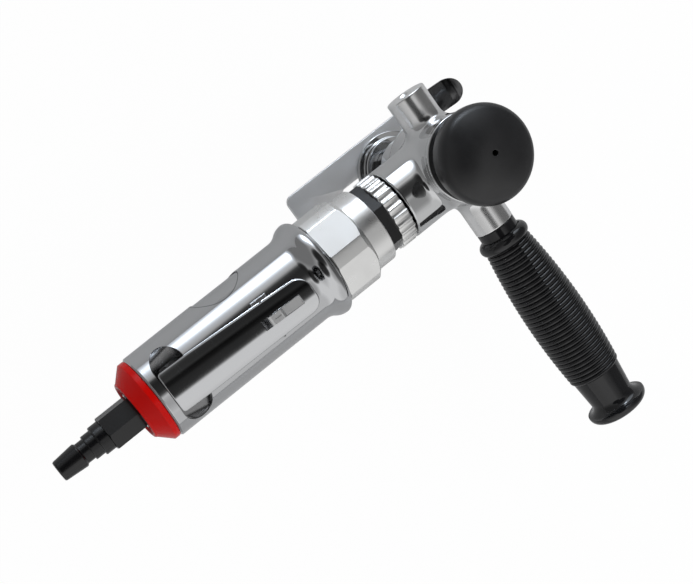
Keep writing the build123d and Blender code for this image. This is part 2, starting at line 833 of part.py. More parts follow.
# Gear case: round body with six flats, round part and nose in front, threaded spigot behind
with BuildPart() as gear_case:
    with BuildSketch(across(case_hex_rear)):
        RegularPolygon(case_across_flats / 2, 6, major_radius=False, rotation=30)
    extrude(amount=case_hex_length)
    turn(
        [
            (case_hex_rear, 0),
            (case_round_rear, 0),
            (case_round_rear, case_land_radius - case_bevel),
            (case_round_rear - case_bevel, case_land_radius),
            (case_hex_rear + case_edge, case_land_radius),
            (case_hex_rear, case_land_radius - case_edge),
        ],
        motor_side,
        motor_axis,
        mode=Mode.INTERSECT,
    )
    turn(
        [
            (spigot_rear, 0),
            (-nose_end, 0),
            (-nose_end, nose_radius),
            (lock_rear, nose_radius),
            (lock_rear, case_round_radius - 0.6),
            (lock_rear - 0.6, case_round_radius),
            (case_round_rear - 1, case_round_radius),
            (case_round_rear - 1, case_spigot_radius),
            (spigot_rear, case_spigot_radius),
        ],
        motor_side,
        motor_axis,
    )
    turn(
        [
            (spigot_rear, 0),
            (spigot_rear, ring_gear_radius + seat_gap),
            (planet_front, ring_gear_radius + seat_gap),
            (planet_front, carrier_bearing_radius + seat_gap),
            (carrier_bearing_rear + carrier_bearing_width, carrier_bearing_radius + seat_gap),
            (carrier_bearing_rear + carrier_bearing_width, shaft_radius + passing_gap),
            (-nose_end - carrier_bearing_width, shaft_radius + passing_gap),
            (-nose_end - carrier_bearing_width, nose_bearing_radius + seat_gap),
            (-nose_end, nose_bearing_radius + seat_gap),
            (-nose_end, 0),
        ],
        motor_side,
        motor_axis,
        mode=Mode.SUBTRACT,
    )
keep(gear_case, "gear_case")

with BuildPart() as carrier_bearing:
    turn(
        bearing(
            carrier_bearing_rear,
            carrier_bearing_rear + carrier_bearing_width,
            carrier_bearing_radius,
            shaft_radius + running_gap,
        ),
        motor_side,
        motor_axis,
    )
keep(carrier_bearing, "carrier_bearing")

with BuildPart() as nose_bearing:
    turn(
        bearing(-nose_end - carrier_bearing_width, -nose_end, nose_bearing_radius, shaft_radius + running_gap),
        motor_side,
        motor_axis,
    )
keep(nose_bearing, "nose_bearing")

# Seam ring between the gear case and the motor housing
with BuildPart() as seam_ring:
    turn(
        ring(housing_front, case_hex_rear, flare_lip_radius - seam_depth, case_spigot_radius + seat_gap),
        motor_side,
        motor_axis,
    )
keep(seam_ring, "seam_ring")

# Lock hexagon and fluted union ring on the nose
with BuildPart() as lock_hexagon:
    lock_corner = lock_across_flats / math.sqrt(3)
    with BuildSketch(across(lock_rear)):
        RegularPolygon(lock_across_flats / 2, 6, major_radius=False, rotation=30 - lock_turn)
        Circle(nose_radius + seat_gap, mode=Mode.SUBTRACT)
    extrude(amount=lock_length)
    turn(
        [
            (lock_rear, 0),
            (ring_rear, 0),
            (ring_rear, lock_corner - lock_bevel),
            (ring_rear - lock_bevel, lock_corner),
            (lock_rear + lock_bevel, lock_corner),
            (lock_rear, lock_corner - lock_bevel),
        ],
        motor_side,
        motor_axis,
        mode=Mode.INTERSECT,
    )
keep(lock_hexagon, "lock_hexagon")

with BuildPart() as union_ring:
    with BuildSketch(across(ring_rear)):
        Circle(ring_radius)
        with PolarLocations(ring_radius + flute_radius - flute_depth, flute_count):
            Circle(flute_radius, mode=Mode.SUBTRACT)
        Circle(nose_radius + seat_gap, mode=Mode.SUBTRACT)
    extrude(amount=ring_length)
keep(union_ring, "union_ring")

# Motor housing: flared barrel with the lever's pocket, bored for the motor, valve and inlet
with BuildPart() as motor_housing:
    lip_start = housing_front - flare_peak - (flare_start - flare_peak) / 2
    lip_rise = (housing_front_radius + flare_radius) / 2
    with BuildSketch(motor_side):
        with BuildLine():
            barrel = Line(
                (housing_rear + rear_edge, housing_rear_radius),
                (housing_front - flare_start, housing_front_radius),
            )
            bell = TangentArc(barrel @ 1, (lip_start, lip_rise), tangent=barrel % 1)
            lip = TangentArc(bell @ 1, (housing_front - flare_peak, flare_radius), tangent=bell % 1)
            lip_front = TangentArc(lip @ 1, (housing_front, flare_lip_radius), tangent=lip % 1)
            front = Line(lip_front @ 1, (housing_front, 0))
            middle = Line(front @ 1, (housing_rear, 0))
            rear = Line(middle @ 1, (housing_rear, housing_rear_radius - rear_edge))
            Line(rear @ 1, barrel @ 0)
        make_face()
    revolve(axis=motor_axis)
    # Shallow round pad on the side, left bare
    pad_x = housing_front - pad_place
    with BuildSketch(Plane(origin=(pad_x, 0, axis_height), x_dir=(1, 0, 0), z_dir=(0, 1, 0))):
        Circle(pad_radius)
    extrude(amount=flare_radius, mode=Mode.SUBTRACT)
    with BuildSketch(across(pad_x - pad_radius - passing_gap)):
        Circle(housing_rear_radius - pad_depth)
    extrude(amount=2 * (pad_radius + passing_gap))
    # Transverse pocket at the lever's hinge, with the hinge lug left standing in it
    with BuildSketch(level(pocket_floor)):
        with Locations((pocket_x, 0)):
            SlotOverall(pocket_width, pocket_length, rotation=90)
        with Locations((pivot_x, 0)):
            Rectangle(lug_length, lug_width, mode=Mode.SUBTRACT)
    extrude(amount=flare_radius, mode=Mode.SUBTRACT)
    with BuildSketch(level(lug_height)):
        with Locations((pivot_x, 0)):
            Rectangle(lug_length, lug_width)
    extrude(amount=flare_radius, mode=Mode.SUBTRACT)
    lug_side = Plane(
        origin=(pivot_x, -lug_width / 2, axis_height + pivot_height), x_dir=(1, 0, 0), z_dir=(0, -1, 0))
    with Locations(lug_side):
        Hole(hinge_pin_radius + seat_gap, lug_width)
    # Flat relief under the latch's leg
    with BuildSketch(level(relief_height)):
        with Locations((pivot_x + latch_place + latch_leg / 2, 0)):
            Rectangle(latch_leg + 2 * relief_margin, 2 * relief_half_width)
    extrude(amount=flare_radius, mode=Mode.SUBTRACT)
    # Motor bore, spigot bore and air way
    turn(
        [
            (rear_plate_rear, 0),
            (rear_plate_rear, motor_bore),
            (spigot_rear, motor_bore),
            (spigot_rear, case_spigot_radius + seat_gap),
            (housing_front, case_spigot_radius + seat_gap),
            (housing_front, 0),
        ],
        motor_side,
        motor_axis,
        mode=Mode.SUBTRACT,
    )
    turn(
        [
            (housing_rear, 0),
            (housing_rear, bushing_radius + seat_gap),
            (housing_rear + bushing_depth, bushing_radius + seat_gap),
            (housing_rear + bushing_depth, bushing_bore),
            (rear_plate_rear, bushing_bore),
            (rear_plate_rear, 0),
        ],
        motor_side,
        motor_axis,
        mode=Mode.SUBTRACT,
    )
    # Valve well, its port to the motor and the exhaust ways
    with BuildSketch(level(valve_well_floor)):
        with Locations((valve_x, 0)):
            Circle(valve_well_radius)
    extrude(amount=valve_bush_bottom - valve_well_floor, mode=Mode.SUBTRACT)
    with BuildSketch(level(valve_bush_bottom)):
        with Locations((valve_x, 0)):
            Circle(valve_bush_radius + seat_gap)
    extrude(amount=flare_radius, mode=Mode.SUBTRACT)
    with BuildSketch(across(valve_x)):
        with Locations((0, valve_port_height)):
            Circle(valve_port_bore)
    extrude(amount=rear_plate_rear - valve_x, mode=Mode.SUBTRACT)
    with BuildSketch(across(housing_rear)):
        with Locations((-exhaust_across, -exhaust_drop), (exhaust_across, -exhaust_drop)):
            Circle(exhaust_radius)
    extrude(amount=rear_plate_rear - housing_rear, mode=Mode.SUBTRACT)
    # Locating pin hole in the chamber's rear wall
    with BuildSketch(across(rear_plate_rear - locating_pin_length / 2)):
        with Locations((0, -(rotor_bearing_radius + motor_bore) / 2)):
            Circle(locating_pin_radius + seat_gap)
    extrude(amount=locating_pin_length / 2, mode=Mode.SUBTRACT)
keep(motor_housing, "motor_housing")

# Motor: liner, end plates and their bearings
pin_drop = (rotor_bearing_radius + motor_bore) / 2
with BuildPart() as cylinder_liner:
    with BuildSketch(across(liner_rear)):
        Circle(liner_radius)
        with Locations((0, liner_offset)):
            Circle(liner_bore, mode=Mode.SUBTRACT)
    extrude(amount=liner_length)
keep(cylinder_liner, "cylinder_liner")

with BuildPart() as rear_end_plate:
    turn(
        [
            (rear_plate_rear, rotor_bearing_radius + seat_gap),
            (rear_plate_rear + rotor_bearing_width, rotor_bearing_radius + seat_gap),
            (rear_plate_rear + rotor_bearing_width, rotor_shaft_radius + shaft_hole_gap),
            (liner_rear, rotor_shaft_radius + shaft_hole_gap),
            (liner_rear, liner_radius),
            (rear_plate_rear, liner_radius),
        ],
        motor_side,
        motor_axis,
    )
    with BuildSketch(across(rear_plate_rear)):
        with Locations((0, valve_port_height)):
            Circle(valve_port_bore)
        with Locations((-exhaust_across, -exhaust_drop), (exhaust_across, -exhaust_drop)):
            Circle(exhaust_radius)
        with Locations((0, -pin_drop)):
            Circle(locating_pin_radius + seat_gap)
    extrude(amount=end_plate, mode=Mode.SUBTRACT)
keep(rear_end_plate, "rear_end_plate")

with BuildPart() as front_end_plate:
    turn(
        [
            (spigot_rear, rotor_bearing_radius + seat_gap),
            (spigot_rear - rotor_bearing_width, rotor_bearing_radius + seat_gap),
            (spigot_rear - rotor_bearing_width, rotor_shaft_radius + shaft_hole_gap),
            (front_plate_rear, rotor_shaft_radius + shaft_hole_gap),
            (front_plate_rear, liner_radius),
            (spigot_rear, liner_radius),
        ],
        motor_side,
        motor_axis,
    )
keep(front_end_plate, "front_end_plate")

with BuildPart() as rear_bearing:
    turn(
        bearing(
            rear_plate_rear,
            rear_plate_rear + rotor_bearing_width,
            rotor_bearing_radius,
            rotor_shaft_radius + running_gap,
        ),
        motor_side,
        motor_axis,
    )
keep(rear_bearing, "rear_bearing")

with BuildPart() as front_bearing:
    turn(
        bearing(
            spigot_rear - rotor_bearing_width,
            spigot_rear,
            rotor_bearing_radius,
            rotor_shaft_radius + running_gap,
        ),
        motor_side,
        motor_axis,
    )
keep(front_bearing, "front_bearing")

with BuildPart() as locating_pin:
    with BuildSketch(across(rear_plate_rear - locating_pin_length / 2)):
        with Locations((0, -pin_drop)):
            Circle(locating_pin_radius)
    extrude(amount=locating_pin_length)
keep(locating_pin, "locating_pin")

# Rotor with its vane slots, the vanes drawn in flush, and the sun pinion in its nose
rotor_rear = liner_rear + rotor_side_gap
rotor_front = front_plate_rear - rotor_side_gap
shaft_rear = rear_plate_rear + passing_gap
shaft_front = spigot_rear + rotor_nose
vane_middle = rotor_radius - vane_depth / 2
with BuildPart() as rotor:
    turn(
        [
            (shaft_rear, 0),
            (shaft_rear, rotor_shaft_radius),
            (rotor_rear, rotor_shaft_radius),
            (rotor_rear, rotor_radius),
            (rotor_front, rotor_radius),
            (rotor_front, rotor_shaft_radius),
            (shaft_front, rotor_shaft_radius),
            (shaft_front, 0),
        ],
        motor_side,
        motor_axis,
    )
    with BuildSketch(across(rotor_rear)):
        with PolarLocations(vane_middle, vane_count):
            Rectangle(vane_depth + 2 * vane_slot_gap, vane_width + 2 * vane_slot_gap)
    extrude(amount=rotor_front - rotor_rear, mode=Mode.SUBTRACT)
    with BuildSketch(across(shaft_front)):
        Circle(sun_stub_radius + seat_gap)
    extrude(amount=-sun_stub_length, mode=Mode.SUBTRACT)
keep(rotor, "rotor")

with BuildPart() as rotor_vanes:
    with BuildSketch(across(rotor_rear)):
        with PolarLocations(vane_middle - vane_slot_gap, vane_count):
            Rectangle(vane_depth, vane_width)
    extrude(amount=rotor_front - rotor_rear)
keep(rotor_vanes, "rotor_vanes")

sun_pitch = sun_teeth * module / 2
with BuildPart() as sun_pinion:
    with BuildSketch(across(shaft_front)):
        with BuildLine():
            Polyline(
                *gear_outline(sun_teeth, sun_pitch + tip_rise, sun_pitch - root_drop, tooth_share), close=True)
        make_face()
    extrude(amount=planet_front - shaft_front)
    with BuildSketch(across(shaft_front)):
        Circle(sun_stub_radius)
    extrude(amount=-sun_stub_length)
keep(sun_pinion, "sun_pinion")

# Air inlet: bushing, silencer ring, exhaust cap and plug
bushing_front = housing_rear + bushing_depth
with BuildPart() as inlet_bushing:
    thread_end = bushing_rear + plug_thread_length + passing_gap
    turn(
        [
            (bushing_rear, plug_thread_radius + seat_gap),
            (thread_end, plug_thread_radius + seat_gap),
            (thread_end, bushing_bore),
            (bushing_front, bushing_bore),
            (bushing_front, bushing_radius),
            (bushing_rear, bushing_radius),
        ],
        motor_side,
        motor_axis,
    )
keep(inlet_bushing, "inlet_bushing")

with BuildPart() as exhaust_silencer:
    turn(
        ring(housing_rear - silencer_length, housing_rear, silencer_radius, bushing_radius + seat_gap),
        motor_side,
        motor_axis,
    )
keep(exhaust_silencer, "exhaust_silencer")

with BuildPart() as rear_exhaust_cap:
    with BuildSketch(motor_side):
        with BuildLine():
            band = Line((housing_rear, cap_radius), (housing_rear - cap_band, cap_radius))
            bevel = Line(band @ 1, (cap_rear + cap_round, cap_rear_radius))
            rim = ThreePointArc(
                bevel @ 1,
                (cap_rear, (cap_rear_radius + cap_rim_radius) / 2),
                (cap_rear + cap_round, cap_rim_radius),
            )
            lip = Line(rim @ 1, (cap_rear + cap_round, bushing_radius + cap_slot))
            mouth = Line(lip @ 1, (cap_rear + cap_round + cap_wall, bushing_radius + cap_slot))
            roof = Line(mouth @ 1, (cap_rear + cap_round + cap_wall, cap_rear_radius - cap_wall / 2))
            slope = Line(roof @ 1, (housing_rear - cap_band, cap_radius - cap_wall))
            wall = Line(slope @ 1, (housing_rear, cap_radius - cap_wall))
            Line(wall @ 1, band @ 0)
        make_face()
    revolve(axis=motor_axis)
keep(rear_exhaust_cap, "rear_exhaust_cap")

plug_collar_rear = plug_hex_rear - plug_collar_length
plug_land_rear = plug_collar_rear - plug_land_length
plug_groove_rear = plug_land_rear - plug_groove_length
plug_tip = plug_groove_rear - plug_nose_length
with BuildPart() as air_plug:
    with BuildSketch(across(plug_hex_rear)):
        RegularPolygon(plug_hex_across_flats / 2, 6, major_radius=False)
    extrude(amount=plug_hex_length)
    turn(
        [
            (plug_tip, 0),
            (plug_tip, plug_tip_radius - 0.6),
            (plug_tip + 0.8, plug_tip_radius),
            (plug_groove_rear - 1, plug_nose_radius),
            (plug_groove_rear, plug_groove_radius),
            (plug_land_rear, plug_groove_radius),
            (plug_land_rear, plug_land_radius),
            (plug_collar_rear, plug_land_radius),
            (plug_collar_rear, plug_collar_radius),
            (plug_hex_rear, plug_collar_radius),
            (plug_hex_rear, plug_thread_radius),
            (bushing_rear + plug_thread_length, plug_thread_radius),
            (bushing_rear + plug_thread_length, 0),
        ],
        motor_side,
        motor_axis,
    )
    with BuildSketch(across(plug_tip)):
        Circle(plug_bore)
    extrude(amount=bushing_rear + plug_thread_length - plug_tip, mode=Mode.SUBTRACT)
keep(air_plug, "air_plug")

# Valve: bush, stem with its head, and the spring under the head
valve_axis = Axis((valve_x, 0, axis_height), (0, 0, 1))
valve_side = Plane(origin=(valve_x, 0, axis_height), x_dir=(1, 0, 0), z_dir=(0, -1, 0))
lever_turn = math.radians(lever_angle)
lever_over_valve = (
    pivot_height
    + (valve_setback + lever_low * math.sin(lever_turn)) * math.tan(lever_turn)
    + lever_low * math.cos(lever_turn)
)
valve_top = lever_over_valve - valve_lever_gap
valve_head_top = valve_bush_bottom - valve_seat_gap
valve_head_bottom = valve_head_top - valve_head_height
with BuildPart() as valve_bush:
    turn(
        [
            (valve_port_radius, valve_bush_bottom),
            (valve_bush_radius, valve_bush_bottom),
            (valve_bush_radius, valve_bush_top),
            (valve_stem_radius + running_gap, valve_bush_top),
            (valve_stem_radius + running_gap, valve_bush_top - valve_guide_length),
            (valve_port_radius, valve_bush_top - valve_guide_length),
        ],
        valve_side,
        valve_axis,
    )
    with BuildSketch(across(valve_x)):
        with Locations((0, valve_port_height)):
            Circle(valve_port_bore)
    extrude(amount=2 * valve_bush_radius, mode=Mode.SUBTRACT)
keep(valve_bush, "valve_bush")

with BuildPart() as valve_stem:
    turn(
        [
            (0, valve_head_bottom),
            (valve_head_radius, valve_head_bottom),
            (valve_head_radius, valve_head_top),
            (valve_stem_radius, valve_head_top),
            (valve_stem_radius, valve_top - valve_stem_round),
            (valve_stem_tip, valve_top),
            (0, valve_top),
        ],
        valve_side,
        valve_axis,
    )
keep(valve_stem, "valve_stem")

spring_floor = axis_height + valve_well_floor + spring_wire + seat_gap
spring_rise = valve_head_bottom - valve_well_floor - 2 * (spring_wire + seat_gap)
with BuildPart() as valve_spring:
    coil(
        spring_radius,
        spring_rise,
        spring_turns,
        spring_wire,
        Plane(origin=(valve_x, 0, spring_floor), x_dir=(1, 0, 0), z_dir=(0, 0, 1)),
    )
keep(valve_spring, "valve_spring")
print("least gap between turns of the valve spring", round(spring_rise / spring_turns - 2 * spring_wire, 2))

# Throttle lever: a crowned sheet with a skirt all round, hinge ears behind and latch ears in front
lever_plane = Plane(
    origin=(pivot_x, 0, axis_height + pivot_height),
    x_dir=(math.cos(lever_turn), 0, math.sin(lever_turn)),
    z_dir=(-math.sin(lever_turn), 0, math.cos(lever_turn)),
)
lever_flank = Plane(
    origin=(pivot_x, 0, axis_height + pivot_height),
    x_dir=(math.cos(lever_turn), 0, math.sin(lever_turn)),
    z_dir=(0, -1, 0),
)
lever_section = Plane(
    origin=lever_flank.from_local_coords((-2 * lever_rear, 0, 0)), x_dir=(0, 1, 0), z_dir=lever_flank.x_dir)
lever_top = lever_low + lever_sheet
lever_reach = lever_length + 3 * lever_rear
with BuildSketch(lever_plane.offset(lever_rim_low)) as lever_plan:
    with BuildLine():
        Polyline(
            (-lever_rear, -lever_rear_half),
            (lever_wide_end, -lever_rear_half),
            (lever_length, -lever_tip_half),
            (lever_length, lever_tip_half),
            (lever_wide_end, lever_rear_half),
            (-lever_rear, lever_rear_half),
            close=True,
        )
    make_face()
    fillet(lever_plan.vertices().group_by(Axis.X)[-1], lever_tip_round)
    fillet(lever_plan.vertices().group_by(Axis.X)[0], lever_rear_round)


def crowned(inset):
    """A block on the lever's plan, drawn in all round by an inset, under the crown."""
    with BuildPart() as block:
        with BuildSketch(lever_plane.offset(lever_rim_low)) as plan:
            add(lever_plan.sketch_local)
            if inset:
                offset(amount=-inset, mode=Mode.REPLACE)
        extrude(plan.sketch, amount=lever_top)
        with BuildSketch(lever_section) as section:
            with Locations((0, lever_top - lever_crown)):
                Circle(lever_crown - inset)
        extrude(section.sketch, amount=lever_reach, mode=Mode.INTERSECT)
    return block.part


latch_share = (latch_place - lever_wide_end) / (lever_length - lever_wide_end)
skirt_half = lever_rear_half + (lever_tip_half - lever_rear_half) * latch_share
with BuildPart() as throttle_lever:
    add(crowned(0))
    fillet(throttle_lever.faces().sort_by(Axis(lever_plane.origin, lever_plane.z_dir))[-1].edges(), lever_edge)
    add(crowned(lever_sheet), mode=Mode.SUBTRACT)
    with BuildSketch(lever_flank):
        with BuildLine():
            Polyline(
                (lever_length - lever_nose_length, 0),
                (lever_length - lever_nose_length, lever_rim_low),
                (lever_length, lever_nose_low),
                (lever_length, 0),
                close=True,
            )
        make_face()
    extrude(amount=lever_rear_half, both=True, mode=Mode.SUBTRACT)
    with BuildSketch(lever_plane):
        with Locations((latch_place + (latch_slot_front - latch_slot_rear) / 2, 0)):
            Rectangle(latch_slot_front + latch_slot_rear, 2 * latch_slot_half)
    extrude(amount=lever_top, mode=Mode.SUBTRACT)
    for ear_place in (lever_rear_half - lever_sheet, -lever_rear_half):
        with BuildSketch(lever_flank.offset(ear_place)):
            Circle(lever_ear_length / 2)
            with Locations((0, lever_rim_low / 2)):
                Rectangle(lever_ear_length, lever_rim_low + lever_edge)
            Circle(hinge_pin_radius + running_gap, mode=Mode.SUBTRACT)
        extrude(amount=lever_sheet)
    latch_ear_top = latch_height + latch_pin_radius
    for ear_place in (skirt_half - lever_sheet - lever_edge / 2, -skirt_half + lever_edge / 2):
        with BuildSketch(lever_flank.offset(ear_place)):
            with Locations((latch_place, (latch_ear_low + latch_ear_top) / 2)):
                Rectangle(latch_ear_length, latch_ear_top - latch_ear_low)
        extrude(amount=lever_sheet)
    with BuildSketch(lever_flank):
        with Locations((latch_place, latch_height)):
            Circle(latch_pin_radius + seat_gap)
    extrude(amount=lever_rear_half, both=True, mode=Mode.SUBTRACT)
keep(throttle_lever, "throttle_lever")

with BuildPart() as lever_pin:
    with BuildSketch(lever_flank.offset(-lever_rear_half)):
        Circle(hinge_pin_radius)
    extrude(amount=2 * lever_rear_half)
    fillet(lever_pin.edges(), hinge_pin_radius / 4)
keep(lever_pin, "lever_pin")

# Safety latch on its pin: leg below, thumb bump above and finger tab in the lever's slot, held by a spring
latch_plane = Plane(
    origin=lever_flank.from_local_coords((latch_place, latch_height, 0)), x_dir=lever_flank.x_dir, z_dir=(0, -1, 0))
with BuildPart() as safety_latch:
    with BuildSketch(latch_plane.offset(-latch_half)) as latch_side:
        with Locations(((latch_bump_front - latch_bump_rear) / 2, latch_bump_top / 2)):
            Rectangle(latch_bump_front + latch_bump_rear, latch_bump_top)
        fillet(latch_side.vertices(), latch_bump_round)
        with BuildLine():
            tab_run = latch_tab_end - latch_bump_front
            tab_rise = tab_run * math.tan(math.radians(latch_tab_lift))
            tab_low = latch_tab_top - latch_tab_sheet
            Polyline(
                (0, tab_low),
                (latch_bump_front, tab_low),
                (latch_tab_end, tab_low + tab_rise),
                (latch_tab_end, latch_tab_top + tab_rise),
                (latch_bump_front, latch_tab_top),
                (0, latch_tab_top),
                close=True,
            )
        make_face()
        with Locations((0, -latch_leg / 2)):
            Rectangle(latch_leg_width, latch_leg)
        Circle(latch_hub_radius)
        Circle(latch_pin_radius + running_gap, mode=Mode.SUBTRACT)
    extrude(amount=2 * latch_half)
keep(safety_latch, "safety_latch")

# Latch pin across the lever, with the clip that keeps it on its free side
with BuildPart() as latch_pin:
    pin_half = skirt_half + latch_pin_end
    with BuildSketch(latch_plane.offset(-pin_half)):
        Circle(latch_pin_radius)
    extrude(amount=2 * pin_half)
    with BuildSketch(latch_plane.offset(-skirt_half - passing_gap)):
        RectangleRounded(latch_clip_length, latch_clip_height, latch_clip_height / 4)
    extrude(amount=-latch_clip_width)
keep(latch_pin, "latch_pin")

with BuildPart() as latch_spring:
    spring_side = latch_half + latch_spring_gap + latch_spring_wire
    coil(
        latch_spring_radius,
        latch_spring_pitch * latch_spring_turns,
        latch_spring_turns,
        latch_spring_wire,
        Plane(
            origin=latch_plane.from_local_coords((0, 0, -spring_side)),
            x_dir=lever_plane.z_dir,
            z_dir=(0, 1, 0),
        ),
        leg=latch_spring_leg,
    )
keep(latch_spring, "latch_spring")
print("least gap between turns of the latch spring", round(latch_spring_pitch - 2 * latch_spring_wire, 2))

# Side handle: stud and ribbed grip
with BuildPart() as handle_stud:
    stud_start = grip_boss_reach - boss_thread_depth
    turn(
        [
            (stud_start, 0),
            (grip_boss_reach + stud_reach, 0),
            (grip_boss_reach + stud_reach, boss_thread_radius - seat_gap),
            (stud_start, boss_thread_radius - seat_gap),
        ],
        grip_side,
        grip_axis,
    )
keep(handle_stud, "handle_stud")


def rib_radius(share):
    """Radius of the ribs' crests along the ribbed part, as a parabola through its two ends and middle."""
    bow = 4 * grip_rib_middle - 3 * grip_rib_first - grip_rib_last
    drop = 2 * (grip_rib_first + grip_rib_last) - 4 * grip_rib_middle
    return grip_rib_first + bow * share + drop * share * share


with BuildPart() as handle_grip:
    rib_length = grip_rib_end - grip_rib_start
    rib_pitch = rib_length / grip_rib_count
    ribs = []
    for number in range(grip_rib_count):
        valley = grip_rib_start + number * rib_pitch
        share = (number + 0.5) / grip_rib_count
        ribs.append((grip_boss_reach + valley, rib_radius(number / grip_rib_count) - grip_rib_depth))
        ribs.append((grip_boss_reach + valley + rib_pitch / 2, rib_radius(share)))
    rib_tail = (grip_boss_reach + grip_rib_end, grip_rib_last - grip_rib_depth)
    bead_start = grip_boss_reach + grip_collar_length
    grip_end = grip_boss_reach + grip_length
    flange_x = grip_boss_reach + grip_flange_place
    with BuildSketch(grip_side):
        with BuildLine():
            mouth = Line((grip_boss_reach, 0), (grip_boss_reach, grip_collar_radius))
            collar = Line(mouth @ 1, (bead_start, grip_collar_radius))
            bead = ThreePointArc(
                collar @ 1,
                (bead_start + grip_bead_length / 2, grip_bead_radius),
                (bead_start + grip_bead_length, ribs[0][1]),
            )
            shank = Line(bead @ 1, ribs[0])
            ribbing = Polyline(*ribs, rib_tail)
            waist = Line(ribbing @ 1, (grip_boss_reach + grip_waist_place, grip_waist_radius))
            flange = TangentArc(waist @ 1, (flange_x, grip_flange_radius), tangent=waist % 1)
            tail = ThreePointArc(
                flange @ 1,
                (flange_x + (grip_end - flange_x) * 0.75, grip_flange_radius * 0.935),
                (grip_end, grip_end_radius),
            )
            end = Line(tail @ 1, (grip_end, 0))
            Line(end @ 1, mouth @ 0)
        make_face()
    revolve(axis=grip_axis)
    with BuildSketch(Plane(origin=(0, -grip_boss_reach, axis_height), x_dir=(1, 0, 0), z_dir=(0, -1, 0))):
        Circle(boss_thread_radius)
    extrude(amount=stud_reach + passing_gap, mode=Mode.SUBTRACT)
keep(handle_grip, "handle_grip")
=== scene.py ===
# %% [markdown]
# # A barrel-bodied air jigsaw
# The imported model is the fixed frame: every piece below sits where its solid says, in metres.
# +X runs forward from the air plug to the toes of the shoe, +Z up to the palm knob, and the side handle
# points to -Y. This lesson dresses that frame: the camera first, then the finishes and the studio, then
# one piece after another: the barrel, what is screwed to its two ends, the head with its knob and its
# handle, the lever with its latch, and last the shoe and the valve's spring.

# %% Load the frame and take its stations
import math

import bmesh
import bpy
import numpy as np
from mathutils import Matrix, Vector


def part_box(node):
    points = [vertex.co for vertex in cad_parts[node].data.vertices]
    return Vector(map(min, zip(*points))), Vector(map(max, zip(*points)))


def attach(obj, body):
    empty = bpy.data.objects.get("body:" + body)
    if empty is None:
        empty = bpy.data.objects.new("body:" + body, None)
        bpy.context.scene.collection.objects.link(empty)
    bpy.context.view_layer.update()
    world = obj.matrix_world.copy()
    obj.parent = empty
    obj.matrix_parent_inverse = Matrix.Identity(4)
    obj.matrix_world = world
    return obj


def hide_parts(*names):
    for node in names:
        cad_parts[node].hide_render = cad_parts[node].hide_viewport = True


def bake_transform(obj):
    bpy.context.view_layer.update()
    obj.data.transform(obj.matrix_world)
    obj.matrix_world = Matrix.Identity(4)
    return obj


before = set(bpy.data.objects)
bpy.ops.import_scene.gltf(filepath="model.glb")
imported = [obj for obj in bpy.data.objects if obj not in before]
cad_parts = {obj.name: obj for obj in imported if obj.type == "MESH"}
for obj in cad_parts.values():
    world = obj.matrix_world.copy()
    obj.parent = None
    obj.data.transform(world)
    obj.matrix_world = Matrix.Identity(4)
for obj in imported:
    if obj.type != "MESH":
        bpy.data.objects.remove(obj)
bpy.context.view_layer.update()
MM = 0.001
FORWARD = Vector((1, 0, 0))
UP = Vector((0, 0, 1))
TO_GRIP = Vector((0, -1, 0))

barrel_low, barrel_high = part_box("motor_housing")
axis_height = (barrel_low[2] + barrel_high[2]) / 2
motor_origin = Vector((0, 0, axis_height))
print("motor axis", round(axis_height / MM, 2), "mm above the floor")

# %% [markdown]
# ## The camera
# The picture was taken from above and behind with a long lens. The camera's place, the point it aims at
# and the way that is up in the picture were worked out from the barrel, the hexagons and the shoe.

# %% Camera
camera_place = Vector((-276.6, 144.2, 821.7)) * MM
camera_aim = Vector((-85.67, -19.87, 85.5)) * MM
picture_up = math.radians(52.8)  # direction on the floor that points up in the picture
camera_data = bpy.data.cameras.new("Camera")
camera_data.lens = 80.07
camera_data.sensor_width = 36.0
camera_data.clip_start = 0.01
camera = bpy.data.objects.new("Camera", camera_data)
bpy.context.collection.objects.link(camera)
towards = (camera_place - camera_aim).normalized()
sideways = Vector((math.cos(picture_up), math.sin(picture_up), 0)).cross(towards).normalized()
upwards = towards.cross(sideways)
camera_turn = Matrix((sideways, upwards, towards)).transposed().to_4x4()
camera.matrix_world = Matrix.Translation(camera_place) @ camera_turn
bpy.context.scene.camera = camera
bpy.context.scene.view_settings.view_transform = "Standard"
print("camera", [round(v, 3) for v in camera_place], "lens", camera_data.lens)

# %% [markdown]
# ## Node helpers
# A finish is a small tree of nodes. These helpers add a node, set its plain values and link it, so that
# the finishes below read as lists of what they are made of.


# %% Helpers for nodes
def add_node(tree, kind, values=None, **settings):
    """Add a node, set its properties and the plain values of its inputs."""
    made = tree.nodes.new(kind)
    for key, value in settings.items():
        setattr(made, key, value)
    for key, value in (values or {}).items():
        made.inputs[key].default_value = value
    return made


def link(tree, *wires):
    """Link nodes: each wire is a node and its output, then a node and its input."""
    for source, output, target, socket in wires:
        tree.links.new(source.outputs[output], target.inputs[socket])


def new_group(name, inputs, outputs):
    """Start a shader node group with named number inputs and named outputs."""
    tree = bpy.data.node_groups.new(name, "ShaderNodeTree")
    for label, value in inputs:
        socket = tree.interface.new_socket(label, in_out="INPUT", socket_type="NodeSocketFloat")
        socket.default_value = value
    for label, kind in outputs:
        tree.interface.new_socket(label, in_out="OUTPUT", socket_type=kind)
    return tree, tree.nodes.new("NodeGroupInput"), tree.nodes.new("NodeGroupOutput")


def use_group(tree, group, values):
    """Place a shared group in a material with values of its own."""
    made = tree.nodes.new("ShaderNodeGroup")
    made.node_tree = group
    for key, value in values.items():
        made.inputs[key].default_value = value
    return made


def new_finish(name):
    """Start a material and return it with its tree and its shader."""
    made = bpy.data.materials.new(name)
    made.use_nodes = True
    return made, made.node_tree, made.node_tree.nodes["Principled BSDF"]


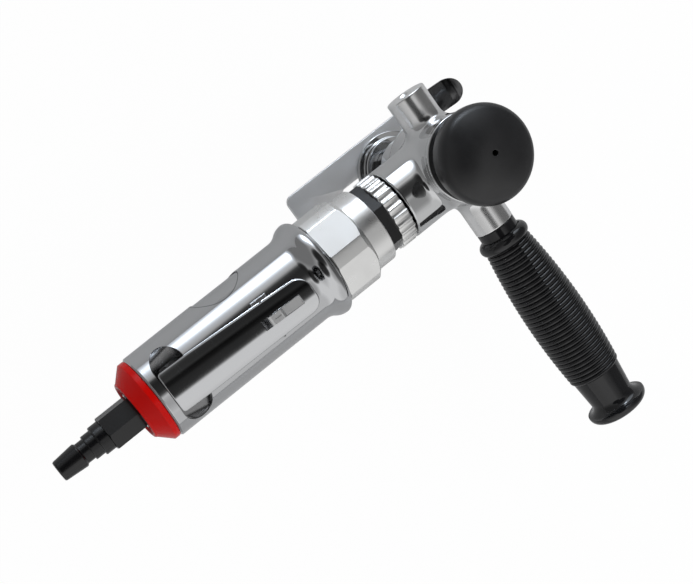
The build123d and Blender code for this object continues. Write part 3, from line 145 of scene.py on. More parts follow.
# %% [markdown]
# ## Shared effects
# Four effects turn up on several finishes. Polishing leaves faint handling smudges that change the
# roughness. A lathe leaves fine rings. Wear and cloths leave hair scratches. Edges catch the wheel or the
# hand first and come up brighter. Each is a group with its own inputs, placed where it is needed.


# %% Smudges: a roughness that drifts over the surface
def make_smudges():
    tree, start, end = new_group(
        "smudges", [("Scale", 40.0), ("Low", 0.05), ("High", 0.12)], [("Roughness", "NodeSocketFloat")])
    place = add_node(tree, "ShaderNodeTexCoord")
    broad = add_node(tree, "ShaderNodeTexNoise", {"Detail": 5.0, "Roughness": 0.6, "Distortion": 0.6})
    spread = add_node(tree, "ShaderNodeMapRange", {"From Min": 0.35, "From Max": 0.7})
    link(tree,
         (place, "Object", broad, "Vector"), (start, "Scale", broad, "Scale"),
         (broad, "Fac", spread, "Value"), (start, "Low", spread, "To Min"),
         (start, "High", spread, "To Max"), (spread, "Result", end, "Roughness"))
    return tree


smudges = make_smudges()
print("group", smudges.name)


# %% Turning rings: fine lines square to the motor axis
def make_turning_rings():
    tree, start, end = new_group(
        "turning_rings", [("Rings per metre", 2500.0)], [("Height", "NodeSocketFloat")])
    place = add_node(tree, "ShaderNodeTexCoord")
    stretch = add_node(tree, "ShaderNodeMapping", {"Scale": (1.0, 0.02, 0.02)})
    rings = add_node(tree, "ShaderNodeTexNoise", {"Detail": 3.0, "Roughness": 0.7})
    link(tree,
         (place, "Object", stretch, "Vector"), (stretch, "Vector", rings, "Vector"),
         (start, "Rings per metre", rings, "Scale"), (rings, "Fac", end, "Height"))
    return tree


turning_rings = make_turning_rings()
print("group", turning_rings.name)


# %% Hair scratches: thin lines along two directions
def make_hair_scratches():
    tree, start, end = new_group(
        "hair_scratches", [("Scale", 400.0), ("Width", 0.04)], [("Mask", "NodeSocketFloat")])
    place = add_node(tree, "ShaderNodeTexCoord")
    both = add_node(tree, "ShaderNodeMath", operation="MULTIPLY")
    for number, (turn, squeeze) in enumerate(((0.5, 0.03), (2.2, 0.05))):
        lay = add_node(tree, "ShaderNodeMapping", {"Rotation": (turn, turn * 0.7, turn * 1.3),
                                                   "Scale": (1.0, squeeze, squeeze)})
        grain = add_node(tree, "ShaderNodeTexNoise", {"Detail": 1.0, "Distortion": 0.2})
        middle = add_node(tree, "ShaderNodeMath", {1: 0.5}, operation="SUBTRACT")
        size = add_node(tree, "ShaderNodeMath", operation="ABSOLUTE")
        thin = add_node(tree, "ShaderNodeMath", operation="LESS_THAN")
        link(tree,
             (place, "Object", lay, "Vector"), (lay, "Vector", grain, "Vector"),
             (start, "Scale", grain, "Scale"), (grain, "Fac", middle, 0), (middle, 0, size, 0),
             (size, 0, thin, 0), (start, "Width", thin, 1), (thin, 0, both, number))
    link(tree, (both, 0, end, "Mask"))
    return tree


hair_scratches = make_hair_scratches()
print("group", hair_scratches.name)


# %% Edge wear: a mask that lights up where a surface turns sharply
def make_edge_wear():
    tree, start, end = new_group(
        "edge_wear", [("Width", 0.0006), ("Breakup", 300.0)], [("Mask", "NodeSocketFloat")])
    round_off = add_node(tree, "ShaderNodeBevel", samples=4)
    plain = add_node(tree, "ShaderNodeNewGeometry")
    turn = add_node(tree, "ShaderNodeVectorMath", operation="DOT_PRODUCT")
    sharp = add_node(tree, "ShaderNodeMapRange", {"From Min": 0.99, "From Max": 0.80})
    place = add_node(tree, "ShaderNodeTexCoord")
    patches = add_node(tree, "ShaderNodeTexNoise", {"Detail": 4.0})
    gaps = add_node(tree, "ShaderNodeMapRange", {"From Min": 0.4, "From Max": 0.6})
    worn = add_node(tree, "ShaderNodeMath", operation="MULTIPLY")
    link(tree,
         (start, "Width", round_off, "Radius"), (round_off, "Normal", turn, 0), (plain, "Normal", turn, 1),
         (turn, "Value", sharp, "Value"), (place, "Object", patches, "Vector"),
         (start, "Breakup", patches, "Scale"), (patches, "Fac", gaps, "Value"),
         (sharp, "Result", worn, 0), (gaps, "Result", worn, 1), (worn, 0, end, "Mask"))
    return tree


edge_wear = make_edge_wear()
print("group", edge_wear.name)

# %% [markdown]
# ## Finishes
# The barrel, the head and the lever are buffed steel: bright, with a roughness that drifts a little and
# hair scratches that only show in a highlight. The head is chromed, a mirror on its body and satin on its
# bosses, where the wheel reached less. The latch is a satin steel. The shoe is a dull plate whose toes are
# smoother and carry a painted dark reflection, near black, where they bend up. The gear case and the union
# ring are satin, straight off the lathe. The lock hexagon and the plug are blackened, with paler corners.
# The cap is red enamel, the knob satin black and the grip gloss black.

# %% Polished steel
BUFFED = (0.56, 0.565, 0.575, 1)


def start_buffed(name, low, high, scratch_depth):
    """Start a bare metal with hair scratches; its drifting roughness is returned, still to be linked."""
    made, tree, shader = new_finish(name)
    shader.inputs["Metallic"].default_value = 1.0
    drift = use_group(tree, smudges, {"Scale": 45.0, "Low": low, "High": high})
    hair = use_group(tree, hair_scratches, {"Scale": 380.0, "Width": 0.03})
    bump = add_node(tree, "ShaderNodeBump", {"Strength": scratch_depth, "Distance": 0.00002}, invert=True)
    link(tree, (hair, "Mask", bump, "Height"), (bump, "Normal", shader, "Normal"))
    return made, tree, shader, drift


def make_polished(name, colour, low, high, scratch_depth):
    made, tree, shader, drift = start_buffed(name, low, high, scratch_depth)
    shader.inputs["Base Color"].default_value = colour
    link(tree, (drift, "Roughness", shader, "Roughness"))
    return made


polished_steel = make_polished("polished_steel", BUFFED, 0.06, 0.11, 0.10)
chrome_plate = make_polished("chrome_plate", (0.58, 0.585, 0.59, 1), 0.04, 0.08, 0.06)
bright_steel = make_polished("bright_steel", (0.56, 0.56, 0.57, 1), 0.14, 0.26, 0.2)
satin_steel = make_polished("satin_steel", (0.82, 0.82, 0.82, 1), 0.36, 0.46, 0.1)
print("finishes", polished_steel.name, chrome_plate.name, bright_steel.name, satin_steel.name)


# %% Head chrome: a mirror on the body and the neck, satin on the two side bosses
def make_head_chrome():
    made, tree, shader, drift = start_buffed("head_chrome", 0.04, 0.08, 0.06)
    place = add_node(tree, "ShaderNodeTexCoord")
    split = add_node(tree, "ShaderNodeSeparateXYZ")
    side = add_node(tree, "ShaderNodeMath", operation="ABSOLUTE")
    satin = add_node(tree, "ShaderNodeMapRange", {"From Min": 22 * MM, "From Max": 30 * MM})
    tone = add_node(tree, "ShaderNodeMix", {"A": (0.60, 0.605, 0.61, 1), "B": (0.86, 0.86, 0.86, 1)},
                    data_type="RGBA")
    rougher = add_node(tree, "ShaderNodeMath", {1: 0.17}, operation="MULTIPLY_ADD")
    link(tree,
         (place, "Object", split, "Vector"), (split, "Y", side, 0), (side, 0, satin, "Value"),
         (satin, "Result", tone, "Factor"), (tone, "Result", shader, "Base Color"),
         (satin, "Result", rougher, 0), (drift, "Roughness", rougher, 2), (rougher, 0, shader, "Roughness"))
    return made


head_chrome = make_head_chrome()
print("finish", head_chrome.name)


# %% Plate steel: dull, with smoother toes that carry a painted dark reflection
def make_plate_steel():
    made, tree, shader, drift = start_buffed("plate_steel", 0.0, 0.10, 0.25)
    place = add_node(tree, "ShaderNodeTexCoord")
    split = add_node(tree, "ShaderNodeSeparateXYZ")
    rubbed = add_node(tree, "ShaderNodeMapRange", {"From Min": 28 * MM, "From Max": 40 * MM,
                                                   "To Min": 0.46, "To Max": 0.10})
    # The toes go near black: a painted dark reflection of the room in their upturned bend.
    toes = add_node(tree, "ShaderNodeMapRange", {"From Min": 30 * MM, "From Max": 39 * MM})
    tone = add_node(tree, "ShaderNodeMix", {"A": (0.86, 0.86, 0.865, 1), "B": (0.09, 0.09, 0.092, 1)},
                    data_type="RGBA")
    rougher = add_node(tree, "ShaderNodeMath", operation="ADD")
    link(tree,
         (place, "Object", split, "Vector"), (split, "X", rubbed, "Value"), (split, "X", toes, "Value"),
         (toes, "Result", tone, "Factor"), (tone, "Result", shader, "Base Color"),
         (rubbed, "Result", rougher, 0), (drift, "Roughness", rougher, 1), (rougher, 0, shader, "Roughness"))
    return made


plate_steel = make_plate_steel()
print("finish", plate_steel.name)


# %% Satin aluminium, blackened steel and other metal off the machine
def make_turned(name, colour, worn_colour, low, high, ring_depth, wear_width, metallic=1.0):
    made, tree, shader = new_finish(name)
    shader.inputs["Metallic"].default_value = metallic
    drift = use_group(tree, smudges, {"Scale": 70.0, "Low": low, "High": high})
    rings = use_group(tree, turning_rings, {"Rings per metre": 2600.0})
    wear = use_group(tree, edge_wear, {"Width": wear_width, "Breakup": 350.0})
    blend = add_node(tree, "ShaderNodeMix", {"A": colour, "B": worn_colour}, data_type="RGBA")
    bump = add_node(tree, "ShaderNodeBump", {"Strength": ring_depth, "Distance": 0.00003})
    link(tree,
         (wear, "Mask", blend, "Factor"), (blend, "Result", shader, "Base Color"),
         (drift, "Roughness", shader, "Roughness"), (rings, "Height", bump, "Height"),
         (bump, "Normal", shader, "Normal"))
    return made


satin_aluminium = make_turned(
    "satin_aluminium", (0.90, 0.90, 0.89, 1), (0.93, 0.93, 0.92, 1), 0.26, 0.36, 0.25, 0.0005)
dark_steel = make_turned(
    "dark_steel", (0.004, 0.004, 0.0045, 1), (0.050, 0.049, 0.048, 1), 0.18, 0.28, 0.2, 0.0003, 0.0)
milled_steel = make_turned(
    "milled_steel", (0.34, 0.34, 0.345, 1), (0.46, 0.46, 0.465, 1), 0.22, 0.32, 0.3, 0.0002)
bronze = make_turned("bronze", (0.55, 0.36, 0.16, 1), (0.72, 0.52, 0.28, 1), 0.25, 0.38, 0.3, 0.0004)
print("finishes", satin_aluminium.name, dark_steel.name, milled_steel.name, bronze.name)


# %% Red enamel
def make_red_enamel():
    made, tree, shader = new_finish("red_enamel")
    shader.inputs["Specular IOR Level"].default_value = 0.14
    drift = use_group(tree, smudges, {"Scale": 60.0, "Low": 0.16, "High": 0.26})
    place = add_node(tree, "ShaderNodeTexCoord")
    cloud = add_node(tree, "ShaderNodeTexNoise", {"Scale": 90.0, "Detail": 4.0})
    tone = add_node(tree, "ShaderNodeMix", {"A": (0.60, 0.003, 0.002, 1), "B": (0.68, 0.005, 0.003, 1)},
                    data_type="RGBA")
    peel = add_node(tree, "ShaderNodeTexNoise", {"Scale": 900.0, "Detail": 1.0})
    bump = add_node(tree, "ShaderNodeBump", {"Strength": 0.06, "Distance": 0.00005})
    link(tree,
         (place, "Object", cloud, "Vector"), (place, "Object", peel, "Vector"),
         (cloud, "Fac", tone, "Factor"), (tone, "Result", shader, "Base Color"),
         (drift, "Roughness", shader, "Roughness"), (peel, "Fac", bump, "Height"),
         (bump, "Normal", shader, "Normal"))
    return made


red_enamel = make_red_enamel()
print("finish", red_enamel.name)


# %% Moulded blacks and the other fillers
def make_moulded(name, colour, pale, low, high, grain_scale, grain_depth):
    made, tree, shader = new_finish(name)
    drift = use_group(tree, smudges, {"Scale": 55.0, "Low": low, "High": high})
    place = add_node(tree, "ShaderNodeTexCoord")
    dust = add_node(tree, "ShaderNodeTexNoise", {"Scale": 120.0, "Detail": 6.0, "Roughness": 0.65})
    tone = add_node(tree, "ShaderNodeMix", {"A": colour, "B": pale}, data_type="RGBA")
    grain = add_node(tree, "ShaderNodeTexNoise", {"Scale": grain_scale, "Detail": 2.0})
    bump = add_node(tree, "ShaderNodeBump", {"Strength": grain_depth, "Distance": 0.00006})
    link(tree,
         (place, "Object", dust, "Vector"), (place, "Object", grain, "Vector"),
         (dust, "Fac", tone, "Factor"), (tone, "Result", shader, "Base Color"),
         (drift, "Roughness", shader, "Roughness"), (grain, "Fac", bump, "Height"),
         (bump, "Normal", shader, "Normal"))
    return made


knob_black = make_moulded(
    "knob_black", (0.009, 0.009, 0.010, 1), (0.018, 0.018, 0.019, 1), 0.30, 0.42, 1500.0, 0.25)
grip_black = make_moulded(
    "grip_black", (0.006, 0.006, 0.007, 1), (0.012, 0.012, 0.013, 1), 0.05, 0.09, 1100.0, 0.03)
seal_rubber = make_moulded(
    "seal_rubber", (0.010, 0.010, 0.010, 1), (0.022, 0.022, 0.022, 1), 0.55, 0.75, 900.0, 0.3)
vane_composite = make_moulded(
    "vane_composite", (0.22, 0.12, 0.06, 1), (0.34, 0.20, 0.11, 1), 0.45, 0.6, 1400.0, 0.3)
silencer_felt = make_moulded(
    "silencer_felt", (0.42, 0.40, 0.35, 1), (0.60, 0.58, 0.52, 1), 0.8, 0.95, 2200.0, 0.9)
print("finishes", knob_black.name, grip_black.name, seal_rubber.name, silencer_felt.name)

# %% [markdown]
# ## Turned pieces
# Most of this tool comes off a lathe, so most pieces are a closed outline spun about an axis. The outline
# gives each corner a rounding, because a real edge is broken and catches a line of light. Mirror finishes
# show every flaw in the shading, so the normals are worked out from the outline: long runs stay true right
# up to the small rounding beside them.


# %% Rounded outlines
def outline(points):
    """Round the corners of a closed outline. Points are distance, radius and rounding in millimetres."""
    made = []
    for index, (distance, radius, rounding) in enumerate(points):
        corner = np.array((distance, radius), dtype=float)
        if rounding <= 0:
            made.append(corner)
            continue
        before = np.array(points[index - 1][:2]) - corner
        after = np.array(points[(index + 1) % len(points)][:2]) - corner
        before /= np.linalg.norm(before)
        after /= np.linalg.norm(after)
        half = 0.5 * math.acos(max(-1.0, min(1.0, float(before @ after))))
        bisector = (before + after) / np.linalg.norm(before + after)
        centre = corner + bisector * rounding / math.sin(half)
        first = corner + before * rounding / math.tan(half) - centre
        last = corner + after * rounding / math.tan(half) - centre
        begin = math.atan2(first[1], first[0])
        sweep = (math.atan2(last[1], last[0]) - begin + math.pi) % (2 * math.pi) - math.pi
        steps = max(3, int(abs(sweep) / math.radians(9)))
        for step in range(steps + 1):
            angle = begin + sweep * step / steps
            made.append(centre + rounding * np.array((math.cos(angle), math.sin(angle))))
    return [point * MM for point in made]


def outline_skin(points, smooth_angle=32.0):
    """The corners of a closed outline, with the true normal at the start and at the end of each run."""
    spine = np.array([(float(p[0]), max(0.0, float(p[1]))) for p in points])
    ahead = np.roll(spine, -1, axis=0)
    area = np.sum(spine[:, 0] * ahead[:, 1] - ahead[:, 0] * spine[:, 1])
    if area < 0:
        spine = spine[::-1]
        ahead = np.roll(spine, -1, axis=0)
    run = ahead - spine
    length = np.linalg.norm(run, axis=1)
    keep = length > 1e-9
    spine, run, length = spine[keep], run[keep], length[keep]
    facing = np.stack((run[:, 1], -run[:, 0]), axis=1) / length[:, None]
    earlier = np.roll(facing, 1, axis=0)
    mixed = facing * length[:, None] + earlier * np.roll(length, 1)[:, None]
    mixed /= np.maximum(np.linalg.norm(mixed, axis=1), 1e-12)[:, None]
    joined = np.sum(facing * earlier, axis=1) > math.cos(math.radians(smooth_angle))
    at_start = np.where(joined[:, None], mixed, facing)
    at_end = np.roll(np.where(joined[:, None], mixed, earlier), -1, axis=0)
    return spine, at_start, at_end


# %% Spinning an outline
def new_object(name, vertices, faces):
    """Make a mesh object from plain lists and link it to the scene."""
    mesh = bpy.data.meshes.new(name)
    mesh.from_pydata([tuple(v) for v in vertices], [], faces)
    made = bpy.data.objects.new(name, mesh)
    bpy.context.collection.objects.link(made)
    return made


def turned(name, points, origin, along, segments=144, smooth_angle=32.0):
    """Spin a closed outline of distance and radius about an axis, with true normals."""
    spine, at_start, at_end = outline_skin(points, smooth_angle)
    along = np.array(along, dtype=float)
    helper = np.array((0.0, 0.0, 1.0)) if abs(along[2]) < 0.9 else np.array((1.0, 0.0, 0.0))
    first_side = np.cross(helper, along)
    first_side /= np.linalg.norm(first_side)
    second_side = np.cross(along, first_side)
    base = np.array(origin, dtype=float)
    angles = 2 * math.pi * np.arange(segments) / segments
    radial = np.cos(angles)[:, None] * first_side + np.sin(angles)[:, None] * second_side
    vertices, rows = [], []
    for distance, radius in spine:
        rows.append([len(vertices) + (k if radius > 0 else 0) for k in range(segments)])
        ring = base + along * distance + radial * radius
        vertices.extend(ring if radius > 0 else ring[:1])
    faces, normals = [], []
    count = len(spine)
    for index in range(count):
        follow = (index + 1) % count
        if spine[index][1] <= 0 and spine[follow][1] <= 0:
            continue
        for k in range(segments):
            turn = (k + 1) % segments
            corners = [(rows[index][k], at_start[index], k), (rows[follow][k], at_end[index], k),
                       (rows[follow][turn], at_end[index], turn), (rows[index][turn], at_start[index], turn)]
            face = []
            for vertex, normal, place in corners:
                if vertex not in [c[0] for c in face]:
                    face.append((vertex, normal[0] * along + normal[1] * radial[place]))
            faces.append([c[0] for c in face])
            normals.extend([c[1] for c in face])
    made = new_object(name, vertices, faces)
    made.data.polygons.foreach_set("use_smooth", [True] * len(made.data.polygons))
    made.data.normals_split_custom_set([tuple(n) for n in normals])
    return made


# %% Dressing a piece
def dress(piece, finish, body, node=None):
    """Give a piece its finish, let it ride on a body and hide the solid it stands for."""
    piece.data.materials.clear()
    piece.data.materials.append(finish)
    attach(piece, body)
    if node:
        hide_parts(node)
    print(piece.name, len(piece.data.polygons), "faces")
    return piece


# %% [markdown]
# ## The studio
# The tool lies on a white sweep. The floor is a white sheet that still takes a soft shadow. The room is
# bright round the horizon and dims in patches overhead, where the camera hangs, and that is what gives
# polished metal its dark crest and pale flanks. A window of daylight low on the far side draws the long
# streaks along the barrel and the grip, and one soft box overhead fills the shadows. To the camera itself
# the room is as white as the floor, so that the ground has no edge from any side.

# %% Floor
FLOOR_REACH = 4.0  # metres from the middle to each side


def make_floor():
    square = [(x * FLOOR_REACH, y * FLOOR_REACH, 0) for x, y in ((-1, -1), (1, -1), (1, 1), (-1, 1))]
    made = new_object("floor", square, [(0, 1, 2, 3)])
    finish, tree, shader = new_finish("white_sweep")
    tree.nodes.remove(shader)
    paper = add_node(tree, "ShaderNodeBsdfDiffuse", {"Color": (0.62, 0.62, 0.62, 1)})
    glow = add_node(tree, "ShaderNodeEmission", {"Color": (1, 1, 1, 1), "Strength": 1.02})
    path = add_node(tree, "ShaderNodeLightPath")
    in_metal = add_node(tree, "ShaderNodeMath", operation="MAXIMUM")
    metal_share = add_node(tree, "ShaderNodeMath", {1: 0.10}, operation="MULTIPLY")
    camera_share = add_node(tree, "ShaderNodeMath", {1: 0.95}, operation="MULTIPLY")
    share = add_node(tree, "ShaderNodeMath", operation="MAXIMUM")
    mix = add_node(tree, "ShaderNodeMixShader")
    link(tree,
         (path, "Is Glossy Ray", in_metal, 0), (path, "Is Transmission Ray", in_metal, 1),
         (in_metal, 0, metal_share, 0), (path, "Is Camera Ray", camera_share, 0),
         (camera_share, 0, share, 0), (metal_share, 0, share, 1), (share, 0, mix, "Fac"),
         (paper, "BSDF", mix, 1), (glow, "Emission", mix, 2),
         (mix, "Shader", tree.nodes["Material Output"], "Surface"))
    made.data.materials.append(finish)
    return made


floor = make_floor()
print("floor", floor.name)

# %% Light of the room, by direction: how near to it, and how bright there
DIM_PATCHES = [
    ((0.065, 0.369, 0.927), [(0.89, 1.0), (0.92, 0.4), (0.943, 0.1), (0.978, 0.04)]),  # overhead, far side
    ((-0.337, -0.059, 0.940), [(0.93, 1.0), (0.945, 0.45), (0.958, 0.1), (0.98, 0.04)]),  # overhead, rear
    ((0.36, -0.39, 0.848), [(0.87, 1.0), (0.94, 0.68), (0.975, 0.54)]),  # overhead, front
    ((0.30, -0.92, 0.25), [(0.80, 1.0), (0.95, 0.78)]),  # low, on the handle's side
    ((0.95, -0.10, 0.30), [(0.50, 1.0), (0.75, 0.3), (0.90, 0.15)]),  # low, in front
    ((-0.70, 0.70, 0.10), [(0.1, 0.95), (0.8, 0.25)])]  # low, behind
WINDOW = ((0.25, 0.938, 0.242),
          [(0.90, 0.0), (0.955, 0.015), (0.975, 0.03), (0.990, 0.07), (0.9965, 0.12), (0.9985, 1.0)])
WINDOW_GLOW = ((0.52, 0.83, 0.20), [(0.90, 0.0), (0.94, 0.03), (0.965, 0.08)])
DAYLIGHT = (18.0, 20.0, 22.5)
SEEN_WHITE = (0.99, 0.99, 0.99, 1)


def towards_share(tree, place, direction, levels):
    """A grey that depends on how near the view is to one direction."""
    near = add_node(tree, "ShaderNodeVectorMath", {1: direction}, operation="DOT_PRODUCT")
    ramp = add_node(tree, "ShaderNodeValToRGB")
    marks = ramp.color_ramp.elements
    for index, (share, level) in enumerate(levels):
        mark = marks[index] if index < 2 else marks.new(share)
        mark.position = share
        mark.color = (level, level, level, 1)
    link(tree, (place, "Generated", near, 0), (near, "Value", ramp, "Fac"))
    return ramp


def make_room():
    room = bpy.data.worlds.new("room")
    room.use_nodes = True
    tree = room.node_tree
    place = add_node(tree, "ShaderNodeTexCoord")
    walls, *others = [towards_share(tree, place, *patch) for patch in DIM_PATCHES]
    for share in others:
        dimmed = add_node(tree, "ShaderNodeVectorMath", operation="MULTIPLY")
        link(tree, (walls, 0, dimmed, 0), (share, "Color", dimmed, 1))
        walls = dimmed
    window = towards_share(tree, place, *WINDOW)
    glow = towards_share(tree, place, *WINDOW_GLOW)
    panes = add_node(tree, "ShaderNodeVectorMath", operation="ADD")
    brighter = add_node(tree, "ShaderNodeVectorMath", {1: DAYLIGHT}, operation="MULTIPLY")
    both = add_node(tree, "ShaderNodeVectorMath", operation="ADD")
    path = add_node(tree, "ShaderNodeLightPath")
    seen = add_node(tree, "ShaderNodeMix", {"B": SEEN_WHITE}, data_type="RGBA")
    link(tree,
         (window, "Color", panes, 0), (glow, "Color", panes, 1), (panes, "Vector", brighter, 0),
         (walls, 0, both, 0), (brighter, "Vector", both, 1), (path, "Is Camera Ray", seen, "Factor"),
         (both, "Vector", seen, "A"), (seen, "Result", tree.nodes["Background"], "Color"))
    bpy.context.scene.world = room
    return room


room = make_room()
print("room", room.name)


# %% Soft box
def soft_box(name, place, aim, size, watts):
    lamp = bpy.data.lights.new(name, "AREA")
    lamp.shape = "RECTANGLE"
    lamp.size = size
    lamp.size_y = size
    lamp.energy = watts
    made = bpy.data.objects.new(name, lamp)
    bpy.context.collection.objects.link(made)
    made.location = place
    made.rotation_euler = (Vector(aim) - Vector(place)).to_track_quat("-Z", "Y").to_euler()
    return made


fill = soft_box("ceiling_fill", (0.5, -0.5, 1.35), (-0.1, 0, 0.08), 1.4, 9.0)
fill.visible_glossy = False
print("soft box", fill.name, fill.data.energy, "W")

# %% [markdown]
# ## Carving
# Pockets, flats and bores are cut out of the turned pieces with exact booleans. A cut leaves long thin
# faces behind, and shading that is averaged over those would ripple on a mirror. So after each cut the
# normals of every corner that still lies on the turned skin are set from the outline again.


# %% Cutting and joining
def apply_modifiers(piece):
    """Bake a piece's modifiers into its mesh."""
    graph = bpy.context.evaluated_depsgraph_get()
    mesh = bpy.data.meshes.new_from_object(piece.evaluated_get(graph))
    piece.modifiers.clear()
    old = piece.data
    piece.data = mesh
    bpy.data.meshes.remove(old)


def carve(piece, cutter, operation="DIFFERENCE"):
    """Cut one solid with another and drop the cutter."""
    cut = piece.modifiers.new("cut", "BOOLEAN")
    cut.operation = operation
    cut.solver = "EXACT"
    cut.object = cutter
    apply_modifiers(piece)
    bpy.data.objects.remove(cutter)
    return piece


def join(first, *others):
    """Make one piece out of several."""
    with bpy.context.temp_override(active_object=first, selected_editable_objects=[first, *others]):
        bpy.ops.object.join()
    return first


def face_outward(piece):
    """Turn all the faces of a closed mesh outward."""
    work = bmesh.new()
    work.from_mesh(piece.data)
    bmesh.ops.recalc_face_normals(work, faces=work.faces)
    work.to_mesh(piece.data)
    work.free()
    return piece


# %% Normals
def corner_data(mesh):
    """The place of every face corner and the way its face looks."""
    vertex = np.empty(len(mesh.loops), dtype=np.int64)
    mesh.loops.foreach_get("vertex_index", vertex)
    places = np.empty(len(mesh.vertices) * 3)
    mesh.vertices.foreach_get("co", places)
    facing = np.empty(len(mesh.polygons) * 3)
    mesh.polygons.foreach_get("normal", facing)
    sizes = np.empty(len(mesh.polygons), dtype=np.int64)
    mesh.polygons.foreach_get("loop_total", sizes)
    return places.reshape(-1, 3)[vertex], np.repeat(facing.reshape(-1, 3), sizes, axis=0)


def crisp(piece, angle=30.0):
    """Shade a piece smooth, with its sharp edges kept."""
    piece.data.polygons.foreach_set("use_smooth", [True] * len(piece.data.polygons))
    piece.data.set_sharp_from_angle(angle=math.radians(angle))
    piece.data.update()
    return piece


def plain_normals(mesh):
    """The corner normals that Blender works out by itself."""
    normals = np.empty(len(mesh.loops) * 3)
    mesh.corner_normals.foreach_get("vector", normals)
    return normals.reshape(-1, 3)


def skin_normals(piece, spine, starts, ends, origin, along):
    """Set true normals on the corners that lie on a turned skin."""
    crisp(piece)
    places, facing = corner_data(piece.data)
    normals = plain_normals(piece.data)
    along = np.array(along, dtype=float)
    away = places - np.array(origin, dtype=float)
    distance = away @ along
    across = away - distance[:, None] * along
    radius = np.linalg.norm(across, axis=1)
    radial = across / np.maximum(radius, 1e-9)[:, None]
    flat_facing = np.stack((facing @ along, np.sum(facing * radial, axis=1)), axis=1)
    follow = np.roll(spine, -1, axis=0)
    best = np.full(len(places), 4e-6)
    for first, second, begin, finish in zip(spine, follow, starts, ends):
        run = second - first
        size = run @ run
        share = np.clip(((distance - first[0]) * run[0] + (radius - first[1]) * run[1]) / size, 0, 1)
        gap = np.hypot(distance - first[0] - share * run[0], radius - first[1] - share * run[1])
        normal = begin + share[:, None] * (finish - begin)
        normal /= np.linalg.norm(normal, axis=1)[:, None]
        here = (gap < best) & (np.sum(normal * flat_facing, axis=1) > 0.9)
        best[here] = gap[here]
        normals[here] = normal[here, :1] * along + normal[here, 1:] * radial[here]
    piece.data.normals_split_custom_set(normals)
    return piece


# %% Straight solids and broken edges
def prism(name, points, low, high, origin=(0, 0, 0), first=(1, 0, 0), second=(0, 1, 0)):
    """A straight solid over a closed outline, between two heights."""
    first, second, base = Vector(first), Vector(second), Vector(origin)
    up = first.cross(second)
    area = sum(a[0] * b[1] - b[0] * a[1] for a, b in zip(points, list(points[1:]) + [points[0]]))
    if area < 0:
        points = list(points)[::-1]
    count = len(points)
    vertices = [base + first * p[0] + second * p[1] + up * low for p in points]
    vertices += [base + first * p[0] + second * p[1] + up * high for p in points]
    faces = [list(range(count))[::-1], list(range(count, 2 * count))]
    faces += [[k, (k + 1) % count, count + (k + 1) % count, count + k] for k in range(count)]
    return new_object(name, vertices, faces)


def circle(radius, count=96, middle=(0.0, 0.0)):
    """Points on a circle, in metres."""
    angles = [2 * math.pi * k / count for k in range(count)]
    return [(middle[0] + radius * math.cos(a), middle[1] + radius * math.sin(a)) for a in angles]


def rectangle(low, high, half):
    """Corners of a rectangle between two distances, in metres."""
    return [(low, -half), (high, -half), (high, half), (low, half)]


def soften(piece, width, segments=3, angle=30.0):
    """Break the sharp edges of a solid with a small rounding."""
    edge = piece.modifiers.new("edge", "BEVEL")
    edge.width = width
    edge.segments = segments
    edge.limit_method = "ANGLE"
    edge.angle_limit = math.radians(angle)
    edge.harden_normals = True
    crisp(piece, angle)
    apply_modifiers(piece)
    return piece


# %% [markdown]
# ## Motor housing
# The barrel is one long turning in steel: nearly straight, with a bell at the front whose lip hangs over
# the gear case. A rounded pocket is milled across its back for the lever's hinge, with a lug left
# standing in it, a flat is milled where the latch comes down, and a shallow round pad is left bare on
# the side. It is turned here as one outline, walls and bores together, and then carved.


# %% Curves for outlines
def sweep_to(start, heading, end, steps=24):
    """An arc that leaves a point along a heading and runs to an end; returns its points and last heading."""
    start, end = np.array(start, dtype=float), np.array(end, dtype=float)
    heading = np.array(heading, dtype=float) / np.linalg.norm(heading)
    chord = end - start
    left = np.array((-heading[1], heading[0]))
    side = chord @ left
    if abs(side) < 1e-9:
        return [tuple(end)], tuple(heading)
    radius = (chord @ chord) / (2 * side)
    centre = start + left * radius
    begin = math.atan2(*(start - centre)[::-1])
    turn = 2 * math.atan2(side, chord @ heading)
    points = []
    for step in range(1, steps + 1):
        angle = begin + turn * step / steps
        points.append(tuple(centre + abs(radius) * np.array((math.cos(angle), math.sin(angle)))))
    last = math.atan2(heading[1], heading[0]) + turn
    return points, (math.cos(last), math.sin(last))


def arc_through(start, middle, end, steps=24):
    """An arc through three points; returns the points after the first."""
    (ax, ay), (bx, by), (cx, cy) = start, middle, end
    scale = 2 * (ax * (by - cy) + bx * (cy - ay) + cx * (ay - by))
    px = ((ax**2 + ay**2) * (by - cy) + (bx**2 + by**2) * (cy - ay) + (cx**2 + cy**2) * (ay - by)) / scale
    py = ((ax**2 + ay**2) * (cx - bx) + (bx**2 + by**2) * (ax - cx) + (cx**2 + cy**2) * (bx - ax)) / scale
    begin = math.atan2(ay - py, ax - px)
    half = (math.atan2(by - py, bx - px) - begin + math.pi) % (2 * math.pi) - math.pi
    rest = (math.atan2(cy - py, cx - px) - begin - half + math.pi) % (2 * math.pi) - math.pi
    radius = math.hypot(ax - px, ay - py)
    angles = [begin + (half + rest) * step / steps for step in range(1, steps + 1)]
    return [(px + radius * math.cos(a), py + radius * math.sin(a)) for a in angles]


def plain(points):
    """Outline points that need no rounding of their own."""
    return [(p[0], p[1], 0) for p in points]


# %% Barrel outline
def span(box, axis):
    """Where a box begins and ends along one axis, in millimetres."""
    low, high = box
    index = "XYZ".index(axis)
    return low[index] / MM, high[index] / MM


barrel_rear, barrel_front = span((barrel_low, barrel_high), "X")
rear_radius, front_radius = 23.3, 23.65
rear_chamfer = 1.2
bell_start, bell_peak = 14.0, 3.3  # from the front end
bell_radius, lip_radius = 27.35, 25.4
spigot_bore, spigot_depth = 20.63, 9.3
motor_bore, motor_wall = 19.5, -147.0  # radius, and station of the wall behind the motor
air_bore = 4.0
inlet_bore, inlet_depth = 10.03, 18.0


